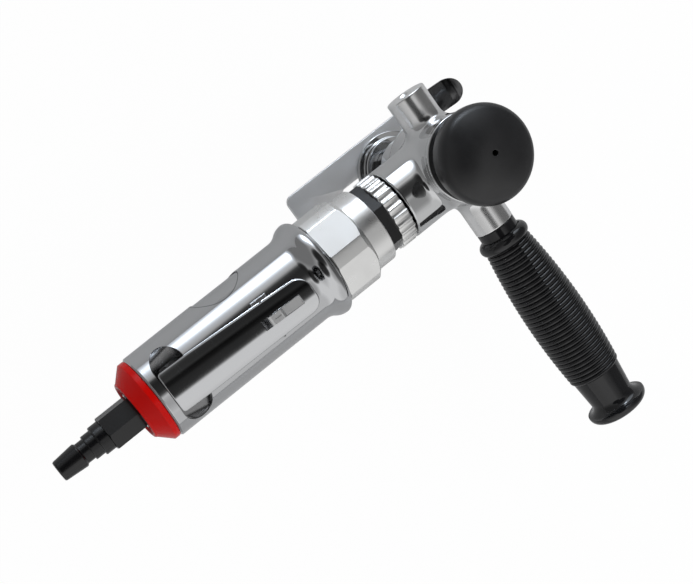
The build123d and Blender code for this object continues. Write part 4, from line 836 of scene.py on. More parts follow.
def barrel_outline():
    rise = (barrel_rear + rear_chamfer, rear_radius)
    knee = (barrel_front - bell_start, front_radius)
    heading = (knee[0] - rise[0], knee[1] - rise[1])
    half = (barrel_front - bell_peak - (bell_start - bell_peak) / 2, (front_radius + bell_radius) / 2)
    bell, heading = sweep_to(knee, heading, half)
    lip, heading = sweep_to(half, heading, (barrel_front - bell_peak, bell_radius))
    nose, heading = sweep_to(lip[-1], heading, (barrel_front, lip_radius))
    outside = [(barrel_rear, rear_radius - rear_chamfer, 0.5), (*rise, 0.5), (*knee, 0)]
    outside += plain(bell) + plain(lip) + plain(nose[:-1]) + [(barrel_front, lip_radius, 0.35)]
    spigot_end, inlet_end = barrel_front - spigot_depth, barrel_rear + inlet_depth
    inside = [(barrel_front, spigot_bore, 0.2), (spigot_end, spigot_bore, 0), (spigot_end, motor_bore, 0),
              (motor_wall, motor_bore, 0), (motor_wall, air_bore, 0), (inlet_end, air_bore, 0),
              (inlet_end, inlet_bore, 0), (barrel_rear, inlet_bore, 0)]
    return outline(outside + inside)


barrel_points = barrel_outline()
motor_housing = turned("motor_housing", barrel_points, motor_origin, FORWARD, 192)
print("barrel", round(barrel_front - barrel_rear, 1), "mm long")

# %% Pocket, relief, pad and valve hole
pivot_low, pivot_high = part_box("lever_pin")
pivot = (Vector(pivot_low) + Vector(pivot_high)) / 2
cut_reach = 40 * MM  # from the motor axis to well outside the barrel
pocket_half_length, pocket_half_width, pocket_floor = 8.4, 19.9, 11.0
pocket_x = barrel_rear + 5.5 + pocket_half_length
lug_half_length, lug_half_width, lug_top = 4.5, 8.5, 21.5
relief_start, relief_end = 46.7, 67.5  # along the barrel from the lever's hinge
relief_half_width, relief_floor = 7.5, 21.0
pad_x = (barrel_front - 50.6) * MM
pad_radius, pad_sink = 14.5, 0.4
valve_x = pivot.x + 24.5 * MM
valve_seat_radius, valve_seat_floor = 5.43, 5.0


def pocket_cutter():
    straight = pocket_half_width - pocket_half_length
    stadium = []
    for angle in np.linspace(math.radians(0.001), math.radians(359.999), 97):
        along = pocket_half_length * math.cos(angle)
        across = math.copysign(straight, math.sin(angle)) + pocket_half_length * math.sin(angle)
        stadium.append(((pocket_x + along) * MM, across * MM))
    made = prism("pocket", stadium, axis_height + pocket_floor * MM, axis_height + cut_reach)
    lug = rectangle(pivot.x - lug_half_length * MM, pivot.x + lug_half_length * MM, lug_half_width * MM)
    return carve(made, prism("lug", lug, axis_height + (pocket_floor - 6) * MM, axis_height + lug_top * MM))


def relief_cutter():
    flat = rectangle(pivot.x + relief_start * MM, pivot.x + relief_end * MM, relief_half_width * MM)
    return prism("relief", flat, axis_height + relief_floor * MM, axis_height + cut_reach)


def pad_cutter():
    pad_middle = (pad_x, 0, axis_height)
    made = prism("pad", circle(pad_radius * MM), 0.0, cut_reach, pad_middle, (0, 0, 1), (1, 0, 0))
    core = prism("core", circle((rear_radius - pad_sink) * MM, 256), pad_x - 20 * MM, pad_x + 20 * MM,
                 motor_origin, (0, 1, 0), (0, 0, 1))
    return carve(made, core)


def valve_cutter():
    seat = circle(valve_seat_radius * MM, 64, (valve_x, 0))
    return prism("valve_seat", seat, axis_height + valve_seat_floor * MM, axis_height + cut_reach)


for cutter in (pocket_cutter(), relief_cutter(), pad_cutter(), valve_cutter()):
    carve(motor_housing, cutter)
skin_normals(motor_housing, *outline_skin(barrel_points), motor_origin, FORWARD)
print("carved barrel", len(motor_housing.data.polygons), "faces")

# %% [markdown]
# A thin dark line is painted along the edge of the pad: a painted shadow where the pad steps down. It is
# drawn into the barrel's own steel by the distance from the pad's axis. The faces of the pocket come
# straight off the milling cutter.


# %% Barrel steel, with a painted shadow line round the pad
def make_barrel_steel():
    made = make_polished("barrel_steel", BUFFED, 0.06, 0.11, 0.10)
    tree = made.node_tree
    place = add_node(tree, "ShaderNodeTexCoord")
    middle = add_node(tree, "ShaderNodeVectorMath", {1: (pad_x, 0.0, axis_height)}, operation="SUBTRACT")
    level = add_node(tree, "ShaderNodeVectorMath", {1: (1.0, 0.0, 1.0)}, operation="MULTIPLY")
    reach = add_node(tree, "ShaderNodeVectorMath", operation="LENGTH")
    # A ring at the pad's radius, on the pad's side, mixes the steel towards near black: a painted shadow
    # line.
    line = add_node(tree, "ShaderNodeMath", {1: pad_radius * MM, 2: 0.3 * MM}, operation="COMPARE")
    split = add_node(tree, "ShaderNodeSeparateXYZ")
    side = add_node(tree, "ShaderNodeMath", {1: 0.0}, operation="GREATER_THAN")
    edge = add_node(tree, "ShaderNodeMath", operation="MULTIPLY")
    tone = add_node(tree, "ShaderNodeMix", {"A": BUFFED, "B": (0.10, 0.10, 0.105, 1)}, data_type="RGBA")
    link(tree,
         (place, "Object", middle, 0), (middle, "Vector", level, 0), (level, "Vector", reach, 0),
         (reach, "Value", line, 0), (middle, "Vector", split, "Vector"), (split, "Y", side, 0),
         (line, 0, edge, 0), (side, 0, edge, 1), (edge, 0, tone, "Factor"),
         (tone, "Result", tree.nodes["Principled BSDF"], "Base Color"))
    return made


def is_milled(face):
    """Whether a face of the barrel lies in the pocket, under the turned skin."""
    x, y, z = face.center
    inside = math.hypot(y, z - axis_height) < 23.0 * MM
    return inside and z > axis_height + 10 * MM and x < barrel_low[0] + 24 * MM


barrel_steel = make_barrel_steel()
dress(motor_housing, barrel_steel, "tool", "motor_housing")
motor_housing.data.materials.append(milled_steel)
for face in motor_housing.data.polygons:
    face.material_index = int(is_milled(face))
print("milled faces", sum(face.material_index for face in motor_housing.data.polygons))

# %% [markdown]
# ## Gear case, lock hexagon and union ring
# A hexagon on a turned piece is a prism trimmed by the lathe. On the gear case only six flats are left,
# with round lands between them; on the lock hexagon a chamfer takes just the corners. So each one is a
# prism met with a turned body, with its edges broken afterwards. The union ring is gripped by hand, so it
# has round flutes all round; it is made from the flutes' own outline.


# %% Helpers for hexagons
def hexagon(name, across_flats, corner_turn, low, high, trim, edge):
    """A hexagonal bar along the motor axis between two stations, trimmed by a turned outline."""
    reach = across_flats / math.sqrt(3) * MM
    corners = [(reach * math.sin(math.radians(corner_turn + 60 * k)),
                reach * math.cos(math.radians(corner_turn + 60 * k))) for k in range(6)]
    bar = prism(name, corners, low * MM, high * MM, motor_origin, (0, 1, 0), (0, 0, 1))
    body = turned(name + "_trim", trim, motor_origin, FORWARD, 192)
    carve(bar, body, "INTERSECT")
    soften(bar, edge * MM, 3, 15)
    return bar


def corner_trim(rear, front, bore, corner, bevel, bevel_length):
    """An outline that takes the corners of a hexagon at both of its ends."""
    return outline([
        (rear, bore, 0), (front, bore, 0), (front, corner - bevel, 0), (front - bevel_length, corner, 0),
        (rear + bevel_length, corner, 0), (rear, corner - bevel, 0)])


# %% Gear case
case_tail = span(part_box("gear_case"), "X")[0]
case_rear = barrel_front + 0.7
case_step = case_rear + 21.8
case_front = case_step + 10.85
case_across_flats = 46.0
case_land, case_bevel = 24.75, 2.75  # radius of the round lands between the flats, and their bevel
case_hole = 15.0
drum_radius, drum_bore, drum_root = 21.25, 15.6, case_step - 4.0
tail_radius, tail_bore, tail_root = 20.6, 18.0, case_rear + 1

hex_trim = outline([
    (case_step, case_hole, 0), (case_step, case_land - case_bevel, 0), (case_step - case_bevel, case_land, 0),
    (case_rear + 0.4, case_land, 0), (case_rear, case_land - 0.4, 0), (case_rear, case_hole, 0)])
gear_case = hexagon("gear_case", case_across_flats, 0.0, case_rear - 1, case_step + 1, hex_trim, 0.2)
dress(gear_case, satin_aluminium, "tool", "gear_case")

gear_case_drum = turned("gear_case_drum", outline([
    (drum_root, drum_bore, 0), (case_front, drum_bore, 0.2), (case_front, drum_radius, 0.6),
    (drum_root, drum_radius, 0)]), motor_origin, FORWARD, 192)
dress(gear_case_drum, satin_aluminium, "tool", None)
gear_case_spigot = turned("gear_case_spigot", outline([
    (case_tail, tail_bore, 0), (tail_root, tail_bore, 0), (tail_root, tail_radius, 0),
    (case_tail, tail_radius, 0.4)]), motor_origin, FORWARD, 144)
dress(gear_case_spigot, satin_aluminium, "tool", None)
join(gear_case, gear_case_drum, gear_case_spigot)

# %% Lock hexagon
lock_rear, lock_front = span(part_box("lock_hexagon"), "X")
lock_across_flats, lock_turn, lock_bore = 35.1, 21.0, 15.6
lock_trim = corner_trim(lock_rear, lock_front, lock_bore, lock_across_flats / math.sqrt(3), 1.0, 0.58)
lock_hexagon = hexagon(
    "lock_hexagon", lock_across_flats, lock_turn, lock_rear - 1, lock_front + 1, lock_trim, 0.25)
dress(lock_hexagon, dark_steel, "tool", "lock_hexagon")

# %% Union ring
ring_rear, ring_front = span(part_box("union_ring"), "X")
ring_radius, ring_bore, ring_edge = 20.1, 15.53, 0.55
flute_count, flute_radius, flute_depth = 26, 3.0, 0.9
points_per_flute = 28


def ring_reach(angle, shrink):
    """Radius of the fluted ring in one direction, drawn in by a share of its edge."""
    pitch = 2 * math.pi / flute_count
    turn = (angle + pitch / 2) % pitch - pitch / 2
    centre = ring_radius + flute_radius - flute_depth
    reach = ring_radius - shrink
    swell = flute_radius + shrink
    inside = swell**2 - (centre * math.sin(turn))**2
    if inside > 0:
        reach = min(reach, centre * math.cos(turn) - math.sqrt(inside))
    return reach


def tube_faces(rows, around, closed=False):
    """Faces between rows of points that run round; the last row of a closed tube meets its first."""
    faces = []
    for row in range(rows if closed else rows - 1):
        follow = (row + 1) % rows
        for k in range(around):
            turn = (k + 1) % around
            faces.append((row * around + k, follow * around + k, follow * around + turn, row * around + turn))
    return faces


def make_union_ring():
    count = flute_count * points_per_flute
    angles = [2 * math.pi * k / count for k in range(count)]
    bends = [(ring_edge * (1 - math.cos(a)), ring_edge * (1 - math.sin(a)))
             for a in np.linspace(0.2, math.pi / 2, 5)]
    stations = [(ring_rear, ring_edge)] + [(ring_rear + inward, shrink) for inward, shrink in bends]
    stations += [(ring_front - inward, shrink) for inward, shrink in bends[::-1]] + [(ring_front, ring_edge)]
    rows = [(ring_rear, [ring_bore] * count)]
    rows += [(station, [ring_reach(angle, shrink) for angle in angles]) for station, shrink in stations]
    rows += [(ring_front, [ring_bore] * count)]
    vertices = [(station * MM, reach * math.sin(angle) * MM, axis_height + reach * math.cos(angle) * MM)
                for station, reaches in rows for angle, reach in zip(angles, reaches)]
    made = new_object("union_ring", vertices, tube_faces(len(rows), count, closed=True))
    return crisp(face_outward(made), 40)


union_ring = make_union_ring()
dress(union_ring, satin_aluminium, "tool", "union_ring")

# %% [markdown]
# ## Rear cap and air plug
# The red cap is a shallow cone that closes the barrel; exhaust air leaves through the ring-shaped gap
# round the inlet bushing. The plug screws into that bushing: a hexagon for the wrench, a collar, a land,
# the groove that the coupling's balls drop into, and a tapered nose.

# %% Red cap
cap_rear = span(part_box("rear_exhaust_cap"), "X")[0]
cap_radius, cap_band, cap_inside = 22.6, 3.0, 20.6
cap_hole, cap_floor, cap_floor_radius = 12.2, 3.0, 15.4
rim_outside, rim_crest, rim_inside, rim_height = 16.4, 15.12, 13.85, 1.0


def cap_outline():
    band_end = barrel_rear - cap_band
    rim_foot = cap_rear + rim_height
    floor_x = cap_rear + cap_floor
    rim = arc_through((rim_foot, rim_outside), (cap_rear, rim_crest), (rim_foot, rim_inside))
    skin = [(barrel_rear, cap_radius, 0.3), (band_end, cap_radius, 0.5), (rim_foot, rim_outside, 0)]
    hollow = [(rim_foot, cap_hole, 0.2), (floor_x, cap_hole, 0), (floor_x, cap_floor_radius, 0),
              (band_end, cap_inside, 0), (barrel_rear, cap_inside, 0)]
    return outline(skin + plain(rim) + hollow)


rear_cap = turned("rear_exhaust_cap", cap_outline(), motor_origin, FORWARD, 160)
dress(rear_cap, red_enamel, "tool", "rear_exhaust_cap")

# %% Air plug
plug_tip, plug_front = span(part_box("air_plug"), "X")
plug_hex_rear = plug_tip + 28.4
plug_hex_front = plug_hex_rear + 17.8
plug_across_flats = 17.0
plug_bore, plug_thread = 3.75, 6.5
nose_tip, nose_start, nose_root = 5.2, 5.6, 6.6  # radii of the tapered nose
groove_radius, land_radius, collar_radius = 5.7, 6.75, 8.0


def plug_outline():
    groove_rear = plug_tip + 13.6
    land_rear = groove_rear + 4.1
    collar_rear = land_rear + 5.1
    return outline([
        (plug_front, plug_bore, 0), (plug_tip, plug_bore, 0.4), (plug_tip, nose_tip, 0.5),
        (plug_tip + 0.8, nose_start, 0.5), (groove_rear - 1.0, nose_root, 0.4),
        (groove_rear, groove_radius, 0.3), (land_rear, groove_radius, 0.3), (land_rear, land_radius, 0.4),
        (collar_rear, land_radius, 0.3), (collar_rear, collar_radius, 0.6),
        (plug_hex_rear, collar_radius, 0.3), (plug_hex_rear, plug_thread, 0), (plug_front, plug_thread, 0.3)])


air_plug = turned("air_plug", plug_outline(), motor_origin, FORWARD, 96)
plug_corner = plug_across_flats / math.sqrt(3) + 0.01
plug_trim = corner_trim(plug_hex_rear, plug_hex_front, plug_thread - 0.1, plug_corner, 0.91, 0.52)
plug_hex = hexagon("plug_hex", plug_across_flats, 0.0, plug_hex_rear - 1, plug_hex_front + 1, plug_trim, 0.25)
join(air_plug, plug_hex)
dress(air_plug, dark_steel, "tool", "air_plug")

# %% [markdown]
# ## Head housing
# The head is a casting: an upright body for the plunger, a neck for the gear case and a boss on either
# side for the handle, all flowing into each other with generous rounds before it was buffed. Booleans
# would leave hard seams, so the skin is written as a field instead: the distance to each of the three
# bodies, blended where they meet. A coarse remesh is then pulled onto the zero of that field, and the
# field's slope gives normals that are true everywhere.

# %% Field of the head
plunger_origin = Vector((0, 0, 0))
axis_mm = axis_height / MM
head_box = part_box("head_housing")
neck_end = span(head_box, "X")[0]
boss_low, boss_high = span(head_box, "Y")
tube_bottom, head_top = span(head_box, "Z")
head_radius, tube_radius, neck_radius, boss_radius = 23.5, 17.0, 20.1, 10.95
cone_rise, cone_top = 8.0, 59.9  # the cone between the tube and the body: its rise and its upper end
cone_bottom = cone_top - cone_rise
cone_foot, tube_top = 45.0, 58.0  # how far cone and tube reach into each other
cone_round = 3.0
casting_round = 2.2  # rounding where the bodies meet


def capped(radius, reach, along, low, high, low_round, high_round):
    """Distance to a capped cylinder with a rounding at either end."""
    middle = (low + high) / 2
    rounding = np.where(along > middle, high_round, low_round)
    out_radius = reach - radius + rounding
    out_along = np.maximum(low - along, along - high) + rounding
    outside = np.hypot(np.maximum(out_radius, 0), np.maximum(out_along, 0))
    return np.minimum(np.maximum(out_radius, out_along), 0) + outside - rounding


def smooth_join(first, second, rounding):
    """Two distances joined with a round of about the given radius in the corner."""
    size = np.maximum(rounding - np.abs(first - second), 0.0) / rounding
    return np.minimum(first, second) - rounding * size * size * size / 6.0


def head_field(places):
    """Distance to the skin of the head, in millimetres, blended where its bodies meet."""
    x, y, z = places[:, 0], places[:, 1], places[:, 2]
    body_reach = np.hypot(x, y)
    upper = capped(head_radius, body_reach, z, cone_top, head_top, 1.0, 0.5)
    flare = head_radius - tube_radius
    cone_side = body_reach - tube_radius - (z - cone_bottom) * flare / cone_rise
    cone_side = cone_side * cone_rise / math.hypot(cone_rise, flare)
    cone = np.maximum(np.maximum(cone_side, z - cone_top - 0.5), cone_foot - z)
    tube = capped(tube_radius, body_reach, z, tube_bottom, tube_top, 1.0, 1.0)
    body = smooth_join(smooth_join(upper, cone, cone_round), tube, cone_round)
    neck_reach = np.hypot(y, z - axis_mm)
    neck = capped(neck_radius, neck_reach, x, neck_end, 0.0, 0.8, 0.8)
    boss_reach = np.hypot(x, z - axis_mm)
    boss = capped(boss_radius, boss_reach, y, boss_low, boss_high, 0.8, 0.8)
    return smooth_join(smooth_join(body, neck, 3 * casting_round), boss, 3 * casting_round)


def field_slope(places):
    """Direction in which the head's field grows."""
    step = 0.01
    slope = np.empty_like(places)
    for axis in range(3):
        shift = np.zeros(3)
        shift[axis] = step
        slope[:, axis] = (head_field(places + shift) - head_field(places - shift)) / (2 * step)
    return slope


# %% Skin of the head
def head_blank():
    """The three bodies as plain turnings in one mesh, remeshed to an even grid."""
    body = turned("head_housing", outline([
        (tube_bottom, 0, 0), (tube_bottom, tube_radius, 0), (cone_bottom, tube_radius, 0),
        (cone_top, head_radius, 0), (head_top, head_radius, 0), (head_top, 0, 0)]), plunger_origin, UP, 96)
    neck = turned("neck", outline([
        (neck_end, 0, 0), (0, 0, 0), (0, neck_radius, 0), (neck_end, neck_radius, 0)]),
        motor_origin, FORWARD, 96)
    boss = turned("boss", outline([
        (-boss_high, 0, 0), (-boss_low, 0, 0), (-boss_low, boss_radius, 0), (-boss_high, boss_radius, 0)]),
        motor_origin, TO_GRIP, 96)
    head = join(body, neck, boss)
    grid = head.modifiers.new("grid", "REMESH")
    grid.mode = "VOXEL"
    grid.voxel_size = 0.6 * MM
    apply_modifiers(head)
    return head


def make_head():
    head = head_blank()
    places = np.empty(len(head.data.vertices) * 3)
    head.data.vertices.foreach_get("co", places)
    places = places.reshape(-1, 3) / MM
    for step in range(12):
        slope = field_slope(places)
        size = np.maximum(np.sum(slope * slope, axis=1), 0.05)
        move = np.clip(head_field(places) / size, -0.5, 0.5)
        places -= move[:, None] * slope
    head.data.vertices.foreach_set("co", (places * MM).ravel())
    head.data.update()
    print("head skin lies within", round(float(np.max(np.abs(head_field(places)))), 4), "mm of its field")
    return head


head_housing = make_head()

# %% Bores of the head
foot_bore, foot_bore_top = 11.03, 34.9
bush_bore = 8.03
chamber_radius, chamber_floor = 21.0, 63.9
neck_bore_radius = 15.53
thread_radius, thread_depth = 4.25, 16


def head_bores():
    chamber = turned("chamber", outline([
        (tube_bottom - 1, 0, 0), (tube_bottom - 1, foot_bore, 0), (foot_bore_top, foot_bore, 0),
        (foot_bore_top, bush_bore, 0), (chamber_floor, bush_bore, 0), (chamber_floor, chamber_radius, 0),
        (head_top + 1, chamber_radius, 0), (head_top + 1, 0, 0)]), plunger_origin, UP, 96)
    carve(head_housing, chamber)
    neck_bore = prism("neck_bore", circle(neck_bore_radius * MM), (neck_end - 1) * MM, -10 * MM,
                      motor_origin, (0, 1, 0), (0, 0, 1))
    carve(head_housing, neck_bore)
    for end, side in ((boss_high, 1), (-boss_low, -1)):
        thread = prism("thread", circle(thread_radius * MM, 48), (end - thread_depth) * MM, (end + 1) * MM,
                       motor_origin, (0, 0, side), (1, 0, 0))
        carve(head_housing, thread)


def head_normals():
    crisp(head_housing, 30)
    places, facing = corner_data(head_housing.data)
    normals = plain_normals(head_housing.data)
    slope = field_slope(places / MM)
    slope /= np.maximum(np.linalg.norm(slope, axis=1), 1e-9)[:, None]
    here = (np.abs(head_field(places / MM)) < 0.02) & (np.sum(slope * facing, axis=1) > 0.6)
    normals[here] = slope[here]
    head_housing.data.normals_split_custom_set(normals)


head_bores()
head_normals()
dress(head_housing, head_chrome, "tool", "head_housing")

# %% [markdown]
# ## Top cover, palm knob and side handle
# The knob is a moulded puck with a soft crown and a breather hole over the plunger. The handle is a
# moulded grip with fine round ribs that swell towards the middle of the hand, then a waist and a flange
# that stops the hand sliding off.

# %% Top cover
cover_low, cover_high = span(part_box("top_cover"), "Z")
cover_neck, cover_rim = 12.0, cover_high - 8.0  # radius of the neck, and height where it starts
top_cover = turned("top_cover", outline([
    (cover_low, bush_bore, 0), (cover_high, bush_bore, 0.2), (cover_high, cover_neck, 0.6),
    (cover_rim, cover_neck, 0), (cover_rim, head_radius, 0.8), (cover_low, head_radius, 0.25)]),
    plunger_origin, UP, 160)
dress(top_cover, chrome_plate, "tool", "top_cover")

# %% Palm knob
knob_low, knob_high = span(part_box("palm_knob"), "Z")
knob_radius, knob_foot = 25.45, 20.0
knob_belly = knob_low + 16.7  # height of the widest part
knob_rise = 12.0  # from the belly to the top of the crown
knob_round = 7.0
knob_socket, knob_socket_top = 12.1, cover_high + 0.6
breather, breather_mouth = 1.5, 2.2
hollow_radius, hollow_top = 7.5, knob_high - 6.0


def knob_outline():
    inner = knob_radius - knob_round
    crown_radius = (inner**2 + knob_rise**2 - knob_round**2) / (2 * (knob_rise - knob_round))
    crown_centre = knob_belly + knob_rise - crown_radius
    lean = math.atan2(knob_belly - crown_centre, inner)
    edge = (crown_centre + crown_radius * math.sin(lean), crown_radius * math.cos(lean))
    flank, heading = sweep_to((knob_belly, knob_radius), (-1, 0), (knob_low, knob_foot), 30)
    shoulder, heading = sweep_to((knob_belly, knob_radius), (1, 0), edge, 40)
    crown, heading = sweep_to(edge, heading, (knob_high - 0.05, breather_mouth), 40)
    skin = [(knob_low, knob_socket, 0), (knob_low, knob_foot, 0.4)] + plain(flank[-2::-1])
    skin += [(knob_belly, knob_radius, 0)] + plain(shoulder) + plain(crown)
    skin += [(knob_high - 0.1, breather, 0.3)]
    hollow = [(hollow_top, breather, 0), (hollow_top, hollow_radius, 0), (knob_socket_top, hollow_radius, 0),
              (knob_socket_top, knob_socket, 0)]
    return outline((skin + hollow)[::-1])


palm_knob = turned("palm_knob", knob_outline(), plunger_origin, UP, 160)
dress(palm_knob, knob_black, "tool", "palm_knob")

# %% Side handle
grip_tail, grip_mouth = span(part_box("handle_grip"), "Y")
grip_length = grip_mouth - grip_tail
grip_collar, grip_collar_length = 10.8, 5.0
bead_crest, bead_end = (8.5, 14.3), 12.0  # the crest is a place along the grip and a radius
rib_start, rib_end, rib_count, rib_depth = 12.2, 96.8, 33, 0.9
points_per_rib = 12
waist, flange = (112.5, 12.1), (117.8, 17.0)  # also a place and a radius each
grip_end_radius = 13.5
dimple_mouth, dimple_floor, dimple_depth = 7.0, 6.0, 0.6
stud_bore, stud_depth = 4.3, 24.5


def rib_radius(share):
    """Radius of the ribs' crests: 12.9 at the first rib, 16.3 in the middle and 14.5 at the last."""
    return 12.9 + 12.0 * share - 10.4 * share * share


def grip_ribs():
    """Points of the ribs along the grip, each a rounded swell."""
    points = []
    pitch = (rib_end - rib_start) / rib_count
    for number in range(rib_count):
        for step in range(points_per_rib):
            place = number + step / points_per_rib
            lift = math.sin(math.pi * step / points_per_rib) ** 0.8
            radius = rib_radius(place / rib_count) - rib_depth * (1 - lift)
            points.append((rib_start + place * pitch, radius))
    return points + [(rib_end, rib_radius(1.0) - rib_depth)]


def grip_outline():
    collar = [(0, grip_collar, 0.4), (grip_collar_length, grip_collar, 0)]
    bead = arc_through((grip_collar_length, grip_collar), bead_crest, (bead_end, rib_radius(0) - rib_depth))
    ribs = grip_ribs()
    heading = (waist[0] - rib_end, waist[1] - ribs[-1][1])
    flare, heading = sweep_to(waist, heading, flange, 20)
    shoulder = (flange[0] + (grip_length - flange[0]) * 0.75, flange[1] * 0.935)
    tail = arc_through(flange, shoulder, (grip_length, grip_end_radius))
    skin = [(0, stud_bore, 0)] + collar + plain(bead) + plain(ribs)
    skin += [(*waist, 0)] + plain(flare) + plain(tail)
    dimple_end = grip_length - dimple_depth
    dimple = [(grip_length, dimple_mouth, 0), (dimple_end, dimple_floor, 0), (dimple_end, 0, 0)]
    bore = [(stud_depth, 0, 0), (stud_depth, stud_bore, 0)]
    return outline((skin + dimple + bore)[::-1])


grip_origin = Vector((0, grip_mouth * MM, axis_height))
handle_grip = turned("handle_grip", grip_outline(), grip_origin, TO_GRIP, 128, 50)
dress(handle_grip, grip_black, "tool", "handle_grip")

# %% [markdown]
# ## Throttle lever
# The lever is pressed from sheet: a long tongue, arched a little across, with its edge rolled down all
# round, ears at the hinge and a slot for the safety latch. It is laid out as rows across the tongue in
# its own frame at the hinge; the height falls off with the distance to the outline, which rolls the edge.

# %% Lever frame
lever_up = math.radians(11.0)  # the released lever stands this far above the barrel
lever_along = Vector((math.cos(lever_up), 0, math.sin(lever_up)))
lever_above = Vector((-math.sin(lever_up), 0, math.cos(lever_up)))
lever_place = Matrix((lever_along, Vector((0, 1, 0)), lever_above)).transposed().to_4x4()
lever_place.translation = pivot
lever_rear, lever_tip = -6.3, 77.5
lever_wide, lever_narrow, lever_shoulder = 11.2, 9.3, 12.0  # half widths, and where the taper starts
rear_round, shoulder_round, tip_round = 1.6, 12.0, 7.0
sheet_top, sheet_thickness = 8.6, 1.4
crown = 27.0  # radius of the arch across the sheet
roll = 0.6
skirt_height, skirt_rise, skirt_rise_start = 4.4, 1.6, 60.0


def lever_edge(inset=0.0):
    """The closed outline of the tongue, or one drawn in for its hollow, in millimetres."""
    rear, tip = lever_rear + inset, lever_tip - inset
    wide, narrow = lever_wide - inset, lever_narrow - inset
    corners = [(rear, -wide, rear_round - inset), (lever_shoulder, -wide, shoulder_round),
               (tip, -narrow, tip_round - inset), (tip, narrow, tip_round - inset),
               (lever_shoulder, wide, shoulder_round), (rear, wide, rear_round - inset)]
    return np.array(outline(corners)) / MM


edge_points = lever_edge()
print("lever", lever_tip - lever_rear, "mm long,", len(edge_points), "points on its edge")


# %% Heights of the lever
def edge_distance(places):
    """Distance from points to the outline of the tongue."""
    best = np.full(len(places), 1e9)
    for start, step in zip(edge_points, np.roll(edge_points, -1, axis=0) - edge_points):
        size = step @ step
        if size < 1e-12:
            continue
        share = np.clip(((places - start) @ step) / size, 0, 1)
        best = np.minimum(best, np.linalg.norm(places - start - share[:, None] * step, axis=1))
    return best


def lever_height(places):
    """Height of the pressed sheet: arched across, rolled down at its edge."""
    arch = crown - np.sqrt(crown**2 - places[:, 1] ** 2)
    inset = np.clip(roll - edge_distance(places), 0, roll)
    return sheet_top - arch - (roll - np.sqrt(np.maximum(roll**2 - inset**2, 0)))


def rim_height(x):
    """Height of the skirt's lower edge: level, then rising towards the tip."""
    return skirt_height + skirt_rise * max(0.0, x - skirt_rise_start) / (lever_tip - skirt_rise_start)


# %% Lever sheet
ACROSS = np.sin(np.linspace(-math.pi / 2, math.pi / 2, 61))


def lever_rows(inset):
    """Places on the sheet in rows across the tongue, on its skin or drawn in for its hollow."""
    edge = lever_edge(inset)
    upper = edge[edge[:, 1] >= 0]
    upper = upper[np.argsort(upper[:, 0])]
    rear, tip = lever_rear + inset, lever_tip - inset
    heel, nose = rear_round - inset, tip_round - inset
    along = np.concatenate((rear + heel * (1 - np.cos(np.linspace(0, math.pi / 2, 12))),
                            np.linspace(rear + heel, tip - nose, 90)[1:],
                            tip - nose * (1 - np.sin(np.linspace(0, math.pi / 2, 30)))[1:]))
    half = np.interp(along, upper[:, 0], upper[:, 1])
    plan = np.array([(x, share * wide) for x, wide in zip(along, half) for share in ACROSS])
    if inset == 0:
        return plan, lever_height(plan)
    return plan, sheet_top - crown + np.sqrt((crown - inset) ** 2 - plan[:, 1] ** 2)


def make_lever():
    vertices, faces, loops = [], [], []
    count = len(ACROSS)
    for inset in (0.0, sheet_thickness):
        plan, heights = lever_rows(inset)
        base, rows = len(vertices), len(plan) // count
        vertices += [(x, y, h) for (x, y), h in zip(plan, heights)]
        corner = [[base + row * count + k for k in range(count)] for row in range(rows)]
        for row in range(rows - 1):
            faces += [(corner[row][k], corner[row + 1][k], corner[row + 1][k + 1], corner[row][k + 1])
                      for k in range(count - 1)]
        rim = corner[0] + [row[-1] for row in corner[1:]]
        rim += corner[-1][-2::-1] + [row[0] for row in corner[-2:0:-1]]
        foot = list(range(len(vertices), len(vertices) + len(rim)))
        vertices += [(vertices[k][0], vertices[k][1], rim_height(vertices[k][0])) for k in rim]
        faces += [(rim[k - 1], rim[k], foot[k], foot[k - 1]) for k in range(len(rim))]
        loops.append(foot)
    outer, inner = loops
    faces += [(outer[k - 1], outer[k], inner[k], inner[k - 1]) for k in range(len(outer))]
    made = new_object("throttle_lever", [Vector(v) * MM for v in vertices], faces)
    made.data.transform(lever_place)
    return face_outward(made)


throttle_lever = make_lever()
print("lever", len(throttle_lever.data.polygons), "faces")

# %% Latch slot and ears
latch_pin = (53.2, 5.2)  # along the lever and above its hinge
slot_start, slot_end, slot_half_width, slot_round = 47.7, 70.2, 2.65, 0.3
ear_thickness = 1.6
hinge_ear, hinge_ear_reach, hinge_ear_top = 9.58, 4.5, 4.9
latch_ear, latch_ear_reach, latch_ear_bottom, latch_ear_top = 8.15, 4.0, 4.1, 5.9
hinge_bore, latch_bore = 2.04, 0.78


def lever_ear(low, middle, reach, top, bottom=None):
    """An ear that hangs from the skirt, down to a level or to a round end about its pin."""
    foot = [(bottom, middle - reach), (bottom, middle + reach)]
    if bottom is None:
        turns = np.linspace(math.pi, 2 * math.pi, 33)
        foot = [(reach * math.sin(a), middle + reach * math.cos(a)) for a in turns]
    points = [(z * MM, x * MM) for z, x in foot + [(top, middle + reach), (top, middle - reach)]]
    made = prism("ear", points, low * MM, (low + ear_thickness) * MM, (0, 0, 0), (0, 0, 1), (1, 0, 0))
    made.data.transform(lever_place)
    return made


def lever_bore(middle, height, radius):
    """A round cutter across the lever, for a pin."""
    hole = circle(radius * MM, 48, (height * MM, middle * MM))
    made = prism("pin_hole", hole, -14 * MM, 14 * MM, (0, 0, 0), (0, 0, 1), (1, 0, 0))
    made.data.transform(lever_place)
    return made


